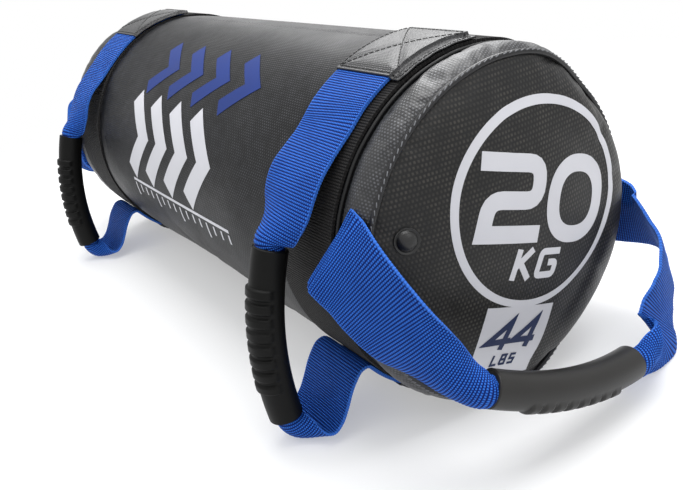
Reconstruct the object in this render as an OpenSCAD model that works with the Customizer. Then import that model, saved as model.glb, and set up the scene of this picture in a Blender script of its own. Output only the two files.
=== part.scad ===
// Weighted training bag: a sand-filled coated-fabric cylinder with six webbing handles.
// It lies on the flat of its underside. X runs along the bag, -Y is the front with the print,
// +Z is up, and the origin is on the floor at mid-length. All sizes are in millimetres.
// Angles round the bag start at the top and grow towards the front.

/* [Bag] */
// Outer diameter of the filled cover
bag_d = 210; // [180:1:260]
// Length between the two edge seams
bag_l = 520; // [440:1:640]
// Rise of each stuffed end panel above its edge seam
end_bulge = 15; // [8:1:22]
// Rounding between the collar and the edge seam
rim_r = 5; // [3:0.5:8]
// Depth of the flat that the filling takes where the bag lies
floor_flat = 4; // [2:0.5:5]
// Thickness of the coated cover fabric
cover_t = 1.5; // [1:0.1:2.5]

/* [Bands and collars] */
// Width of the smooth collar at each end
collar_w = 24; // [20:1:32]
// Diameter of the piping cord between collar and band
piping_d = 3; // [2:0.5:4]
// Width of the black woven band
band_w = 60; // [56:1:80]
// Thickness of the black woven band
band_t = 2; // [1.5:0.1:3]
// Diameter of the sewn ridge at the edge seam
seam_d = 4; // [3:0.5:5]

/* [Webbing] */
// Width of the handle webbing
web_w = 50; // [40:1:54]
// Thickness of the handle webbing
web_t = 2; // [1.5:0.1:2.5]
// Width of the webbing where it is gathered into a grip
neck_w = 26; // [20:1:30]
// Thickness of the patches sewn over the webbing ends
patch_t = 1.6; // [1:0.1:2]

/* [Grips] */
// Outer diameter of a rubber grip
grip_d = 23; // [20:0.5:26]
// Bore of a grip
grip_bore = 15; // [12:0.5:17]
// Length of a grip, straight from end to end
grip_l = 106; // [90:1:116]
// Height of the arch of a grip
grip_arch = 7; // [4:0.5:9]
// Number of finger ribs on a grip
rib_count = 8; // [5:1:10]
// Distance from rib to rib
rib_pitch = 8.2; // [7:0.1:9]
// Width of one finger rib
rib_w = 5.4; // [4:0.1:6]
// Height of a finger rib above the grip
rib_h = 1.6; // [1:0.1:2.5]

/* [Handle places] */
// Distance from the edge seam to the middle of a front handle
front_inset = 60; // [54:1:66]
// Angle at which a front handle leaves the top of the bag
front_hi_angle = 54; // [50:1:58]
// Angle at which a front handle leaves the underside
front_lo_angle = 136; // [132:1:138]
// Angle from the top of the bag to the front end of each end handle
end_angle = 74; // [68:1:80]
// Distance from the edge seam to the line that an end handle turns about
end_inset = 10; // [6:1:14]
// Distance from that line to the ends of the grip
end_reach = 91; // [86:1:98]
// Angle by which the end handles hang down
end_droop = 46; // [30:1:48]
// Angle of the two carry handles at the back
carry_angle = -103; // [-110:1:-95]
// Distance from the bag to the ends of a carry grip
carry_reach = 33; // [30:1:38]
// Angle by which the carry handles hang below square
carry_droop = 30; // [20:1:38]

/* [Filling] */
// Thickness of the foam sleeve between cover and inner bag
sleeve_t = 14; // [8:1:20]
// Thickness of the end pad at its rim
pad_t = 11; // [6:1:16]
// Thickness of the inner bag
inner_t = 1; // [0.6:0.1:1.5]

/* [Vents] */
// Diameter of the domed vent cap
vent_d = 14.5; // [12:0.5:18]
// Distance of the vent from the middle of the end panel
vent_r = 82; // [60:1:84]
// Angle of the vent round the end panel
vent_angle = 71; // [50:1:90]

/* [Hidden] */
$fn = 96;

blue = [0.08, 0.25, 0.75];
play = 0.1;                                         // between layers that lie on each other
loose = 0.3;                                        // between the filling's loose layers
turn_gap = 0.4;                                     // between the sewn end of a strap and its moving loop
spread_gap = 0.6;                                   // from a grip's end to where its webbing spreads
bag_r = bag_d / 2;
axis_z = bag_r - floor_flat;
end_x = bag_l / 2;
collar_x = end_x - collar_w;
band_out_x = collar_x - piping_d;
band_in_x = band_out_x - band_w;
band_mid_x = (band_in_x + band_out_x) / 2;
band_r = bag_r + band_t;
front_x = end_x - front_inset;
seam_r = bag_r - rim_r;
dome_r = (seam_r * seam_r + end_bulge * end_bulge) / (2 * end_bulge);
dome_x = end_x + end_bulge - dome_r;
big = 2 * bag_l;
patch_r = band_r + web_t + 2 * play + patch_t;
upper_patch_angles = [-8, 22.5];
lower_patch_angles = [140, 153.5];
vent_shank = 5;
vent_flange_t = 1;
inner_r = bag_r - cover_t - sleeve_t;
fill_x = end_x - pad_t;
pouch_count = 4;
pouch_gap = 1;
pouch_l = (2 * (fill_x - inner_t - pouch_gap) - (pouch_count - 1) * pouch_gap) / pouch_count;

// Curves in a handle's own plane -------------------------------------------------------------

// Point at t on a cubic Bezier with the control points p
function bezier(p, t) =
    pow(1 - t, 3) * p[0] + 3 * t * pow(1 - t, 2) * p[1] + 3 * t * t * (1 - t) * p[2] + t * t * t * p[3];
// Points of a Bezier, without its last one
function curve(p, steps = 10) = [for (i = [0 : steps - 1]) bezier(p, i / steps)];
function unit(v) = v / norm(v);
function left_of(v) = [-v.y, v.x];
// Direction of a path at its point i
function heading(path, i) = unit(path[min(i + 1, len(path) - 1)] - path[max(i - 1, 0)]);
// Closed outline of a band of thickness t along a path
function ribbon(path, t) = concat(
    [for (i = [0 : len(path) - 1]) path[i] + t / 2 * left_of(heading(path, i))],
    [for (i = [len(path) - 1 : -1 : 0]) path[i] - t / 2 * left_of(heading(path, i))]);
// Point on the cross-section of the bag: front distance and height from its axis
function on_bag(angle, r) = [r * sin(angle), r * cos(angle)];

// Grip arc: radius, half angle, and the direction in which webbing leaves each end
grip_bend_r = (grip_l * grip_l / 4 + grip_arch * grip_arch) / (2 * grip_arch);
grip_half = asin(grip_l / 2 / grip_bend_r);
grip_out_hi = [cos(grip_half), -sin(grip_half)];
grip_out_lo = [-cos(grip_half), -sin(grip_half)];

// Front handle, in front distance and height from the axis of the bag
front_lie_r = band_r + play + web_t / 2;
front_hi_foot = on_bag(front_hi_angle, front_lie_r);
front_lo_foot = on_bag(front_lo_angle, front_lie_r);
front_grip_lean = 6;                                // grip bottom lies further out than its top
front_grip_hi = [bag_r + 19.6, 17];
front_grip_lo = front_grip_hi + grip_l * [sin(front_grip_lean), -cos(front_grip_lean)];
front_chord = front_hi_foot - front_lo_foot;
front_mid = (front_hi_foot + front_lo_foot) / 2;
front_tilt = atan2(front_chord.x, front_chord.y);
front_hi_split = 35;                                // radius round the chord where the loop turns
front_lo_split = 26;
// The same points in the handle's own plane: along the chord, then out from it
function to_chord(p) = let (d = p - front_mid, c = unit(front_chord)) [d * c, d * [c.y, -c.x]];
front_grip_hi_c = to_chord(front_grip_hi);
front_grip_lo_c = to_chord(front_grip_lo);
front_grip_turn = atan2(front_grip_hi_c.y - front_grip_lo_c.y, front_grip_hi_c.x - front_grip_lo_c.x);
front_grip_mid_c = (front_grip_hi_c + front_grip_lo_c) / 2;
function turned(v, a) = [v.x * cos(a) - v.y * sin(a), v.x * sin(a) + v.y * cos(a)];
front_leave = to_chord(front_mid + [cos(front_hi_angle), -sin(front_hi_angle)]);
front_enter = to_chord(front_mid + [-cos(front_lo_angle), sin(front_lo_angle)]);
front_hump = to_chord([bag_r - 2, -axis_z + 21]);   // where the lower strap turns down
front_hump_dir = [0.9, 0.44];
front_hi_path = concat(
    curve([front_grip_hi_c + spread_gap * turned(grip_out_hi, front_grip_turn),
        front_grip_hi_c + 14 * turned(grip_out_hi, front_grip_turn),
        to_chord(front_hi_foot) + 22 * front_leave, to_chord(front_hi_foot)]),
    [to_chord(front_hi_foot)]);
front_lo_path = concat(
    curve([front_grip_lo_c + spread_gap * turned(grip_out_lo, front_grip_turn),
        front_grip_lo_c + 12.5 * turned(grip_out_lo, front_grip_turn),
        front_hump + 24 * [-front_hump_dir.x, front_hump_dir.y], front_hump]),
    curve([front_hump, front_hump + 10 * [front_hump_dir.x, -front_hump_dir.y],
        to_chord(front_lo_foot) + 16 * front_enter, to_chord(front_lo_foot)]),
    [to_chord(front_lo_foot)]);

// End handle: along the sewn line, then out from it
end_lie = bag_r + band_t + 0.6 + web_t / 2;         // half width of the loop at its sewn ends
end_split = web_w / 2 + turn_gap;
end_path = concat(
    curve([[grip_l / 2, end_reach] + spread_gap * grip_out_hi, [grip_l / 2, end_reach] + 16 * grip_out_hi,
        [end_lie, end_split + 26], [end_lie, end_split + 1]]),
    [[end_lie, 0]]);

// Carry handle: along the bag, then out from it
carry_half = grip_l / 2 + 9;
carry_lie = bag_r + play + web_t / 2;
carry_split = 23;
carry_x = band_in_x / 2;                            // middle of a carry handle, half way to the band
carry_end_gap = 1.5;                                // from a sewn end to the band and to mid-length
carry_foot_l = carry_x - carry_half - carry_end_gap;
carry_path = concat(
    curve([[grip_l / 2, carry_reach] + spread_gap * grip_out_hi, [grip_l / 2, carry_reach] + 9 * grip_out_hi,
        [carry_half, 16], [carry_half, 0]]),
    [[carry_half, -1]]);

// Basic bodies ---------------------------------------------------------------------------------

// Cylinder along the bag between two places
module drum(r, x0, x1) {
    translate([x0, 0, axis_z]) rotate([0, 90, 0]) cylinder(r = r, h = x1 - x0);
}

// Everything above a height
module above(z) {
    translate([-big / 2, -big / 2, z]) cube(big);
}

// Drum with the flat of the underside at a height
module flat_drum(r, x0, x1, z) {
    intersection() {
        drum(r, x0, x1);
        above(z);
    }
}

// Turns a profile of [radius, place along the bag] about the axis of the bag
module turned_profile() {
    translate([0, 0, axis_z]) rotate([0, 90, 0]) rotate_extrude() children();
}

// Part of a ring between two angles, from x0 to x1
module ring_sector(r0, r1, x0, x1, a0, a1) {
    translate([x0, 0, axis_z]) rotate([0, 90, 0]) rotate([0, 0, 180 + a0])
        rotate_extrude(angle = a1 - a0, $fn = 180) translate([r0, 0]) square([r1 - r0, x1 - x0]);
}

// Both ends of the bag: side 1 is the right end, side -1 the left end
module at_side(side) {
    if (side > 0) children();
    else mirror([1, 0, 0]) children();
}

// Cover ------------------------------------------------------------------------------------------

module barrel_cover() {
    color([0.12, 0.12, 0.13]) difference() {
        union() {
            flat_drum(bag_r, -collar_x, collar_x, band_t);
            flat_drum(bag_r, -band_in_x, band_in_x, 0);
        }
        flat_drum(bag_r - cover_t, -collar_x - 1, collar_x + 1, band_t + cover_t);
    }
}

// Profile of the bag's end with its rounded edge, moved in by an inset
module collar_outline(inset) {
    x0 = inset > 0 ? collar_x - 1 : collar_x;
    polygon(concat(
        [[0, x0], [bag_r - inset, x0]],
        [for (a = [0 : 10 : 90]) [bag_r - rim_r + (rim_r - inset) * cos(a), end_x - rim_r + (rim_r - inset) * sin(a)]],
        [[0, end_x - inset]]));
}

module collar_body(inset, z) {
    intersection() {
        turned_profile() collar_outline(inset);
        above(z);
    }
}

module collar(side) {
    color([0.14, 0.14, 0.15]) at_side(side) difference() {
        collar_body(0, 0);
        collar_body(cover_t, cover_t);
        drum(seam_r - cover_t, end_x - rim_r, end_x + 1);
    }
}

// Frame on the end panel, its origin on the outer face and +Z square to that face
module vent_frame() {
    translate([dome_x, 0, axis_z]) rotate([180 + vent_angle, 0, 0]) rotate([0, 90, 0])
        rotate([0, asin(vent_r / dome_r), 0]) translate([0, 0, dome_r]) children();
}

// Points of the end panel's profile from the middle to the seam, as [radius, place along the bag]
function dome_arc(r) = let (top = asin(seam_r / dome_r))
    [for (i = [0 : 12]) [r * sin(top * i / 12), dome_x + r * cos(top * i / 12)]];

// Solid of the stuffed end, from below its seam to the outer face lowered by a depth
module end_fill(depth, x0) {
    turned_profile() intersection() {
        polygon(concat([[0, x0]], dome_arc(dome_r - depth), [[seam_r, x0]]));
        translate([0, x0]) square([bag_r, bag_l]);
    }
}

module end_panel(side) {
    color([0.1, 0.1, 0.11]) at_side(side) difference() {
        turned_profile() polygon(concat(dome_arc(dome_r), [for (i = [12 : -1 : 0]) dome_arc(dome_r - cover_t)[i]]));
        drum(bag_r, end_x - end_bulge, end_x + play);
        vent_frame() cylinder(d = vent_shank + 0.2, h = 20, center = true);
    }
}

// Rolled ridge where collar and end panel are sewn together
module edge_seam(side) {
    color([0.2, 0.2, 0.21]) at_side(side) intersection() {
        turned_profile() difference() {
            translate([seam_r + rim_r / 4, end_x]) circle(d = seam_d, $fn = 24);
            collar_outline(-play);
            polygon(concat([[0, end_x - seam_d]], dome_arc(dome_r + play), [[seam_r, end_x - seam_d]]));
        }
        above(loose);
    }
}

module piping(side) {
    color([0.05, 0.05, 0.05]) at_side(side) intersection() {
        turned_profile() polygon([for (a = [0 : 30 : 180])
            [bag_r + play + (piping_d / 2 - play) * sin(a), collar_x - piping_d / 2 + (piping_d / 2 - play) * cos(a)]]);
        above(loose);
    }
}

module band(side) {
    color([0.08, 0.08, 0.09]) at_side(side) difference() {
        flat_drum(band_r, band_in_x, band_out_x, 0);
        flat_drum(bag_r + play, band_in_x - 1, band_out_x + 1, band_t);
    }
}

// Patches ----------------------------------------------------------------------------------------

// Patch across the band with a pocket for the webbing end below it
module patch(a0, a1) {
    difference() {
        ring_sector(band_r + play, patch_r, band_in_x, band_out_x, a0, a1);
        ring_sector(band_r, band_r + web_t + 2 * play, front_x - web_w / 2 - play,
            front_x + web_w / 2 + play, a0 - 2, a1 + 2);
    }
}

module upper_patch(side) {
    color([0.16, 0.16, 0.17]) at_side(side) patch(upper_patch_angles[0], upper_patch_angles[1]);
}

module lower_patch(side) {
    color([0.16, 0.16, 0.17]) at_side(side) patch(lower_patch_angles[0], lower_patch_angles[1]);
}

// Webbing ----------------------------------------------------------------------------------------

// Webbing along a path, narrowing from full width at foot_y to the neck at grip_y
module strap(path, foot_y, grip_y) {
    intersection() {
        linear_extrude(web_w, center = true) polygon(ribbon(path, web_t));
        rotate([0, -90, 0]) linear_extrude(big, center = true)
            polygon([[-web_w / 2, -big], [-web_w / 2, foot_y], [-neck_w / 2, grip_y], [-neck_w / 2, big],
                [neck_w / 2, big], [neck_w / 2, grip_y], [web_w / 2, foot_y], [web_w / 2, -big]]);
    }
}

// Arc of a grip from end to end, its middle above the origin, with a round section
module grip_arc(d, half, r_shift = 0) {
    translate([0, grip_arch - grip_bend_r, 0]) rotate([0, 0, 90 - half])
        rotate_extrude(angle = 2 * half, $fn = 360) translate([grip_bend_r + r_shift, 0]) circle(d = d, $fn = 48);
}

// Webbing rolled up inside a grip, a little longer than the grip
module rolled_web() {
    grip_arc(grip_bore - 2 * play, grip_half + 1);
}

module grip() {
    rib_step = rib_pitch / grip_bend_r * 180 / PI;
    color([0.09, 0.09, 0.1]) difference() {
        union() {
            grip_arc(grip_d, grip_half);
            for (i = [0 : rib_count - 1])
                translate([0, grip_arch - grip_bend_r, 0])
                    rotate([0, 0, 90 + (i - (rib_count - 1) / 2) * rib_step - rib_w / grip_bend_r * 90 / PI])
                        rotate_extrude(angle = rib_w / grip_bend_r * 180 / PI, $fn = 360)
                            translate([grip_bend_r + rib_h, 0]) circle(d = grip_d, $fn = 48);
        }
        grip_arc(grip_bore, grip_half + 2);
    }
}

// Space round the line that a handle turns about, from a0 to a1 along it, and all below low
module turn_zone(r, a0, a1, low = 0) {
    translate([a0, 0, 0]) rotate([0, 90, 0]) cylinder(r = r, h = a1 - a0);
    translate([a0, -bag_r, -bag_r]) cube([a1 - a0, bag_r + low, 2 * bag_r]);
}

// Front handles
module front_plane() {
    translate([front_x, -front_mid.x, axis_z + front_mid.y]) rotate([front_tilt, 0, 0])
        rotate([180, -90, 0]) children();
}

module front_grip_place() {
    translate([front_grip_mid_c.x, front_grip_mid_c.y, 0]) rotate([0, 0, front_grip_turn]) children();
}

module front_straps() {
    strap(front_hi_path, 0, front_grip_hi_c.y);
    strap(front_lo_path, 0, 30);
}

module front_strap(side) {
    color(blue) at_side(side) front_plane() {
        difference() {
            front_straps();
            turn_zone(front_hi_split, 0, bag_r);
            turn_zone(front_lo_split, -bag_r, 0);
        }
        front_grip_place() rolled_web();
    }
}

module front_grip(side) {
    at_side(side) front_plane() front_grip_place() grip();
}

module front_strap_ends(side) {
    x0 = front_x - web_w / 2;
    color(blue) at_side(side) {
        ring_sector(band_r + play, band_r + play + web_t, x0, x0 + web_w,
            upper_patch_angles[0] + 1, front_hi_angle + 0.5);
        ring_sector(band_r + play, band_r + play + web_t, x0, x0 + web_w,
            front_lo_angle - 0.5, lower_patch_angles[1] - 1);
        front_plane() intersection() {
            front_straps();
            union() {
                turn_zone(front_hi_split - turn_gap, 0, bag_r);
                turn_zone(front_lo_split - turn_gap, -bag_r, 0);
            }
        }
    }
}

// End handles
module end_plane(droop) {
    translate([end_x - end_inset, 0, axis_z]) rotate([end_angle - 90, 0, 0]) rotate([0, 0, -90])
        rotate([-droop, 0, 0]) children();
}

module both_halves() {
    children();
    mirror([1, 0, 0]) children();
}

module end_strap(side) {
    color(blue) at_side(side) end_plane(end_droop) {
        difference() {
            both_halves() strap(end_path, end_split, end_reach);
            turn_zone(end_split, -2 * bag_r, 2 * bag_r, 3);
        }
        translate([0, end_reach, 0]) rolled_web();
    }
}

module end_grip(side) {
    at_side(side) end_plane(end_droop) translate([0, end_reach, 0]) grip();
}

// Doubled webbing on the collar: a tongue whose round end the loop turns about
module end_strap_ends(side) {
    depth = 5;
    color(blue) at_side(side) difference() {
        end_plane(0) both_halves() translate([end_lie + web_t / 2 - depth, 0, 0]) rotate([0, 90, 0])
            cylinder(r = web_w / 2, h = depth);
        drum(bag_r + play, -end_x, end_x + end_bulge);
        drum(2 * bag_r, 0, collar_x + play);
    }
}

// Carry handles
module carry_plane(droop) {
    lie = on_bag(carry_angle, carry_lie);
    translate([carry_x, -lie.x, axis_z + lie.y]) rotate([90 + carry_angle - droop, 0, 0]) children();
}

module carry_strap(side) {
    color(blue) at_side(side) carry_plane(carry_droop) {
        difference() {
            both_halves() strap(carry_path, -2, 0);
            turn_zone(carry_split, -2 * bag_r, 2 * bag_r);
        }
        translate([0, carry_reach, 0]) rolled_web();
    }
}

module carry_grip(side) {
    at_side(side) carry_plane(carry_droop) translate([0, carry_reach, 0]) grip();
}

module carry_strap_ends(side) {
    half = web_w / bag_d * 180 / PI;
    color(blue) at_side(side) {
        for (x = [carry_x - carry_half - carry_foot_l, carry_x + carry_half - 2])
            ring_sector(bag_r + play, bag_r + play + web_t, x, x + carry_foot_l + 2,
                carry_angle - half, carry_angle + half);
        difference() {
            carry_plane(carry_droop) both_halves() intersection() {
                strap(carry_path, -2, 0);
                turn_zone(carry_split - turn_gap, -bag_r, 2 * bag_r);
            }
            drum(bag_r + play, 0, bag_l);
        }
    }
}

// Vents ------------------------------------------------------------------------------------------

module vent_cap(side) {
    dome = vent_d * 0.38;
    color([0.07, 0.07, 0.07]) at_side(side) vent_frame() translate([0, 0, play]) {
        cylinder(d = vent_d, h = vent_flange_t);
        translate([0, 0, vent_flange_t]) intersection() {
            translate([0, 0, 3 - dome * 1.05]) sphere(dome * 1.05);
            cylinder(r = vent_d, h = 10);
        }
        translate([0, 0, -cover_t - 2 - 2 * play]) cylinder(d = vent_shank, h = cover_t + 2 + 2 * play);
    }
}

module vent_washer(side) {
    color([0.6, 0.6, 0.6]) at_side(side) vent_frame() translate([0, 0, -cover_t - 1 - play]) difference() {
        cylinder(d = vent_d - 2, h = 1);
        translate([0, 0, -1]) cylinder(d = vent_shank + 0.2, h = 3);
    }
}

// Filling ----------------------------------------------------------------------------------------

module foam_sleeve() {
    color([0.85, 0.8, 0.6]) difference() {
        flat_drum(bag_r - cover_t - loose, -fill_x, fill_x, band_t + cover_t + loose);
        drum(inner_r + loose, -end_x, end_x);
    }
}

module end_pad(side) {
    color([0.85, 0.8, 0.6]) at_side(side) difference() {
        intersection() {
            end_fill(cover_t + loose, fill_x + loose);
            above(cover_t + loose);
        }
        vent_frame() translate([0, 0, -cover_t - 4]) cylinder(d = vent_d, h = 10);
    }
}

module inner_bag() {
    color([0.5, 0.5, 0.45]) difference() {
        drum(inner_r, -fill_x, fill_x);
        drum(inner_r - inner_t, -fill_x + inner_t, fill_x - inner_t);
    }
}

module sand_pouch(i) {
    x0 = -(fill_x - inner_t - pouch_gap) + i * (pouch_l + pouch_gap);
    color([0.76, 0.66, 0.45]) drum(inner_r - inner_t - loose, x0, x0 + pouch_l);
}

// Assembly ---------------------------------------------------------------------------------------

barrel_cover();
collar(-1);  // collar_left
collar(1);  // collar_right
end_panel(-1);  // end_panel_left
end_panel(1);  // end_panel_right
edge_seam(-1);  // edge_seam_left
edge_seam(1);  // edge_seam_right
piping(-1);  // piping_left
piping(1);  // piping_right
band(-1);  // band_left
band(1);  // band_right
upper_patch(-1);  // upper_patch_left
upper_patch(1);  // upper_patch_right
lower_patch(-1);  // lower_patch_left
lower_patch(1);  // lower_patch_right
front_strap_ends(-1);  // front_strap_ends_left
front_strap_ends(1);  // front_strap_ends_right
end_strap_ends(-1);  // end_strap_ends_left
end_strap_ends(1);  // end_strap_ends_right
carry_strap_ends(-1);  // carry_strap_ends_left
carry_strap_ends(1);  // carry_strap_ends_right
front_strap(-1);  // front_strap_left
front_strap(1);  // front_strap_right
end_strap(-1);  // end_strap_left
end_strap(1);  // end_strap_right
carry_strap(-1);  // carry_strap_left
carry_strap(1);  // carry_strap_right
front_grip(-1);  // front_grip_left
front_grip(1);  // front_grip_right
end_grip(-1);  // end_grip_left
end_grip(1);  // end_grip_right
carry_grip(-1);  // carry_grip_left
carry_grip(1);  // carry_grip_right
vent_cap(-1);  // vent_cap_left
vent_cap(1);  // vent_cap_right
vent_washer(-1);  // vent_washer_left
vent_washer(1);  // vent_washer_right
foam_sleeve();
end_pad(-1);  // end_pad_left
end_pad(1);  // end_pad_right
inner_bag();
sand_pouch(0);  // sand_pouch_1
sand_pouch(1);  // sand_pouch_2
sand_pouch(2);  // sand_pouch_3
sand_pouch(3);  // sand_pouch_4
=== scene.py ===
# %% [markdown]
# # A weighted training bag
# The real object is a short, heavy barrel of black coated fabric, stuffed with pouches of sand, with blue
# webbing handles on its front, its back and both ends. The CAD model is loaded first. It fixes every size
# and every joint, so each piece made here goes where the CAD says, in metres, and nothing is fitted by eye.

# %% Load the frame
import math
import bpy
import numpy as np
from mathutils import Matrix, Vector, noise


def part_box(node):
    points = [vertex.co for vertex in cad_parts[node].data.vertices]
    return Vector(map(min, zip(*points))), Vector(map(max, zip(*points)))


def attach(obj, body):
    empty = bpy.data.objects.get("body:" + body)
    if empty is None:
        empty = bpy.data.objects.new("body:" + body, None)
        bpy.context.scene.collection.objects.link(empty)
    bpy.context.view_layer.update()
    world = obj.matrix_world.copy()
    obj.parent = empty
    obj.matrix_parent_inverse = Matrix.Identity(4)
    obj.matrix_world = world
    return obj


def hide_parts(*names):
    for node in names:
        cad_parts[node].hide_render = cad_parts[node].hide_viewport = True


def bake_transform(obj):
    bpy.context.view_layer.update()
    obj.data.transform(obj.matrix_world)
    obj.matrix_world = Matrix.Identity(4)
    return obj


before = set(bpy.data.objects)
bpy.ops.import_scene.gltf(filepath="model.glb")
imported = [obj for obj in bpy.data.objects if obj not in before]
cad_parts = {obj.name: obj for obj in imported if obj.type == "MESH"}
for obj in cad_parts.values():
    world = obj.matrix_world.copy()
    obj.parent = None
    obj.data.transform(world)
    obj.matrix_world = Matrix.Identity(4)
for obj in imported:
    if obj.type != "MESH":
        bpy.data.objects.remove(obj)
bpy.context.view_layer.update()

bpy.ops.object.select_all(action="DESELECT")

# %% [markdown]
# The camera comes first, because everything is judged through it. It stands close to the right end of the
# bag, a little above it, so the near end looks much larger than the far one. Its three axes are written
# out, which is the most direct way to fix a camera in every direction.

# %% Camera
CAMERA_PLACE = (0.5752, -0.2874, 0.2989)
CAMERA_RIGHT = (0.5425, 0.8231, -0.1677)
CAMERA_UP = (-0.2616, 0.3554, 0.8975)
CAMERA_BACK = (0.7983, -0.4430, 0.4080)
camera = bpy.data.objects.new("camera", bpy.data.cameras.new("camera"))
bpy.context.collection.objects.link(camera)
camera.data.sensor_width, camera.data.lens = 36, 42.44
camera.matrix_world = Matrix.Translation(CAMERA_PLACE) @ Matrix(
    (CAMERA_RIGHT, CAMERA_UP, CAMERA_BACK)).transposed().to_4x4()
bpy.context.scene.camera = camera
bpy.context.scene.view_settings.view_transform = "Standard"
print("lens", camera.data.lens, "mm")

# %% [markdown]
# ## Sizes
# All sizes below are millimetres, as a maker would measure them, and are turned to metres when a mesh is
# made. A place on the bag is given by how far it lies along the bag, by its angle from the top towards the
# front, and by its distance from the axis.

# %% Sizes of the bag
MM = 0.001
AXIS_Z = 101            # the axis of the bag above the floor
BAG_R = 105
END_X = 260             # the seam round each end panel
COLLAR_X = 236          # where the collar is sewn to the barrel
BAND_IN, BAND_OUT = 173, 233
BAND_R = 107
SEAM_R = 100
BULGE = 15              # how far a stuffed end stands out
WALL = 1.5              # coated fabric with its backing
FRONT_X = 200           # middle of a front handle
WEB_W, WEB_T = 50, 2
STRAP_R = 108.4         # the middle of a strap that lies on a band
GRIP_L, GRIP_ARCH, GRIP_R, BORE_R = 106, 7, 10.4, 7.5
END_SHRINK, TOP_SHRINK, END_PULL = 0.063, 0.06, 7.5     # how far sunk filling lets the cover in


def full_turn(count):
    return np.linspace(0, 360, count, endpoint=False)


def soft(t):
    """0 below 0, 1 above 1, and smooth between them."""
    t = np.clip(t, 0, 1)
    return t * t * (3 - 2 * t)


def sunk(turn):
    """How far the filling of an end has sunk, by the angle in degrees from the top towards the back."""
    return soft((turn % 360 - 12) / 38) * soft((185 - turn % 360) / 40)


def bulge(r):
    """How far a stuffed end stands out at a distance from the axis."""
    return BULGE * (1 - (r / SEAM_R) ** 2.3)


def on_bag(x, angle, r):
    """Points on the round bag: x along it, degrees from the top towards the front, r from the axis."""
    x, a, r = np.broadcast_arrays(x, np.radians(angle), r)
    return np.stack([x * 1.0, -r * np.sin(a), AXIS_Z + r * np.cos(a)], -1)


def slump(points):
    """The bag is a little smaller where its filling has sunk: at the back of each end, and above it."""
    x, y, z = points[..., 0], points[..., 1], points[..., 2] - AXIS_Z
    r, turn = np.hypot(y, z), np.degrees(np.arctan2(y, z)) % 360
    end = soft((np.abs(x) - COLLAR_X) / 18)
    above = soft((np.abs(x) - 150) / 80) * soft((turn - 15) / 25) * soft((95 - turn) / 25)
    shrink = 1 - END_SHRINK * end * sunk(turn) - TOP_SHRINK * (1 - end) * above
    points[..., 0] = x - np.sign(x) * END_PULL * end * sunk(turn) * soft((r - 90) / 11)
    points[..., 1], points[..., 2] = y * shrink, AXIS_Z + z * shrink
    return points


def settle(points, floor, shoulder=2.5):
    """Cloth below the floor level is pressed up flat, with a soft shoulder each side."""
    height = points[..., 2] - floor
    points[..., 2] = floor + (height + np.sqrt(height ** 2 + shoulder ** 2)) / 2
    return points


def laid(x, angle, r, floor, shoulder=2.5):
    """Points on the bag as it lies on the floor."""
    return settle(slump(on_bag(x, angle, r)), floor, shoulder)


print("bag", 2 * END_X, "x", 2 * BAG_R, "mm")

# %% [markdown]
# ## Colours and shader nodes
# Colours are picked as sRGB hex values, the way a paint chart gives them. Cycles works with linear light, so
# one function turns them over. One more function adds a shader node with its settings and its links. The
# short ones after it are the few kinds of node that the finishes use again and again.

# %% Colour and node helpers
def linear(hex_colour):
    """An sRGB hex colour as linear RGBA."""
    parts = [int(hex_colour[i:i + 2], 16) / 255 for i in (1, 3, 5)]
    return (*[c / 12.92 if c <= 0.04045 else ((c + 0.055) / 1.055) ** 2.4 for c in parts], 1)


def feed(tree, node, inputs):
    """Gives inputs of a node plain values or other nodes' outputs."""
    for key, source in dict(inputs).items():
        if isinstance(source, bpy.types.NodeSocket):
            tree.links.new(source, node.inputs[key])
        else:
            node.inputs[key].default_value = source


def add(tree, kind, inputs=(), **settings):
    """Adds a shader node with its settings and its inputs."""
    made = tree.nodes.new("ShaderNode" + kind)
    for key, setting in settings.items():
        setattr(made, key, setting)
    feed(tree, made, inputs)
    return made


def value(tree, kind, inputs=(), **settings):
    """The first output of a node that is added."""
    return add(tree, kind, inputs, **settings).outputs[0]


def calc(tree, operation, *inputs):
    return value(tree, "Math", enumerate(inputs), operation=operation)


def scaled(tree, source, low, high, to_low=0.0, to_high=1.0, smooth=False):
    """Turns the range from low to high into the range from to_low to to_high, and stays inside it."""
    ends = {"Value": source, "From Min": low, "From Max": high, "To Min": to_low, "To Max": to_high}
    return value(tree, "MapRange", ends, interpolation_type="SMOOTHSTEP" if smooth else "LINEAR")


def mix(tree, share, first, second):
    """Mixes two colours, each a hex value or another node's output."""
    first, second = [linear(c) if isinstance(c, str) else c for c in (first, second)]
    return value(tree, "MixRGB", {"Fac": share, "Color1": first, "Color2": second})


def speckle(tree, place, scale, detail):
    return value(tree, "TexNoise", {"Vector": place, "Scale": scale, "Detail": detail})


def relief(tree, height, strength, depth):
    return value(tree, "Bump", {"Height": height, "Strength": strength, "Distance": depth * MM})


def start_material(name):
    """A new material and its tree of nodes."""
    material = bpy.data.materials.new(name)
    material.use_nodes = True
    return material, material.node_tree


def spot(tree):
    """The place on the object, in metres."""
    return add(tree, "TexCoord").outputs["Object"]


def finish(tree, **sockets):
    """Sets or links sockets of the tree's Principled shader, and gives the shader."""
    shader = tree.nodes["Principled BSDF"]
    feed(tree, shader, {key.replace("_", " "): source for key, source in sockets.items()})
    return shader


print("black vinyl", [round(c, 4) for c in linear("#1c1c1f")[:3]])

# %% [markdown]
# ## Studio
# The bag lies on a plain white floor that runs out of sight. The floor is ordinary matt white near the bag,
# so it takes the shadow, and turns to even white further out. The world is white to the camera and in
# reflections. As a light it is a pale ceiling over dim walls, so the bag is brighter on top than on its
# sides.

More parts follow.
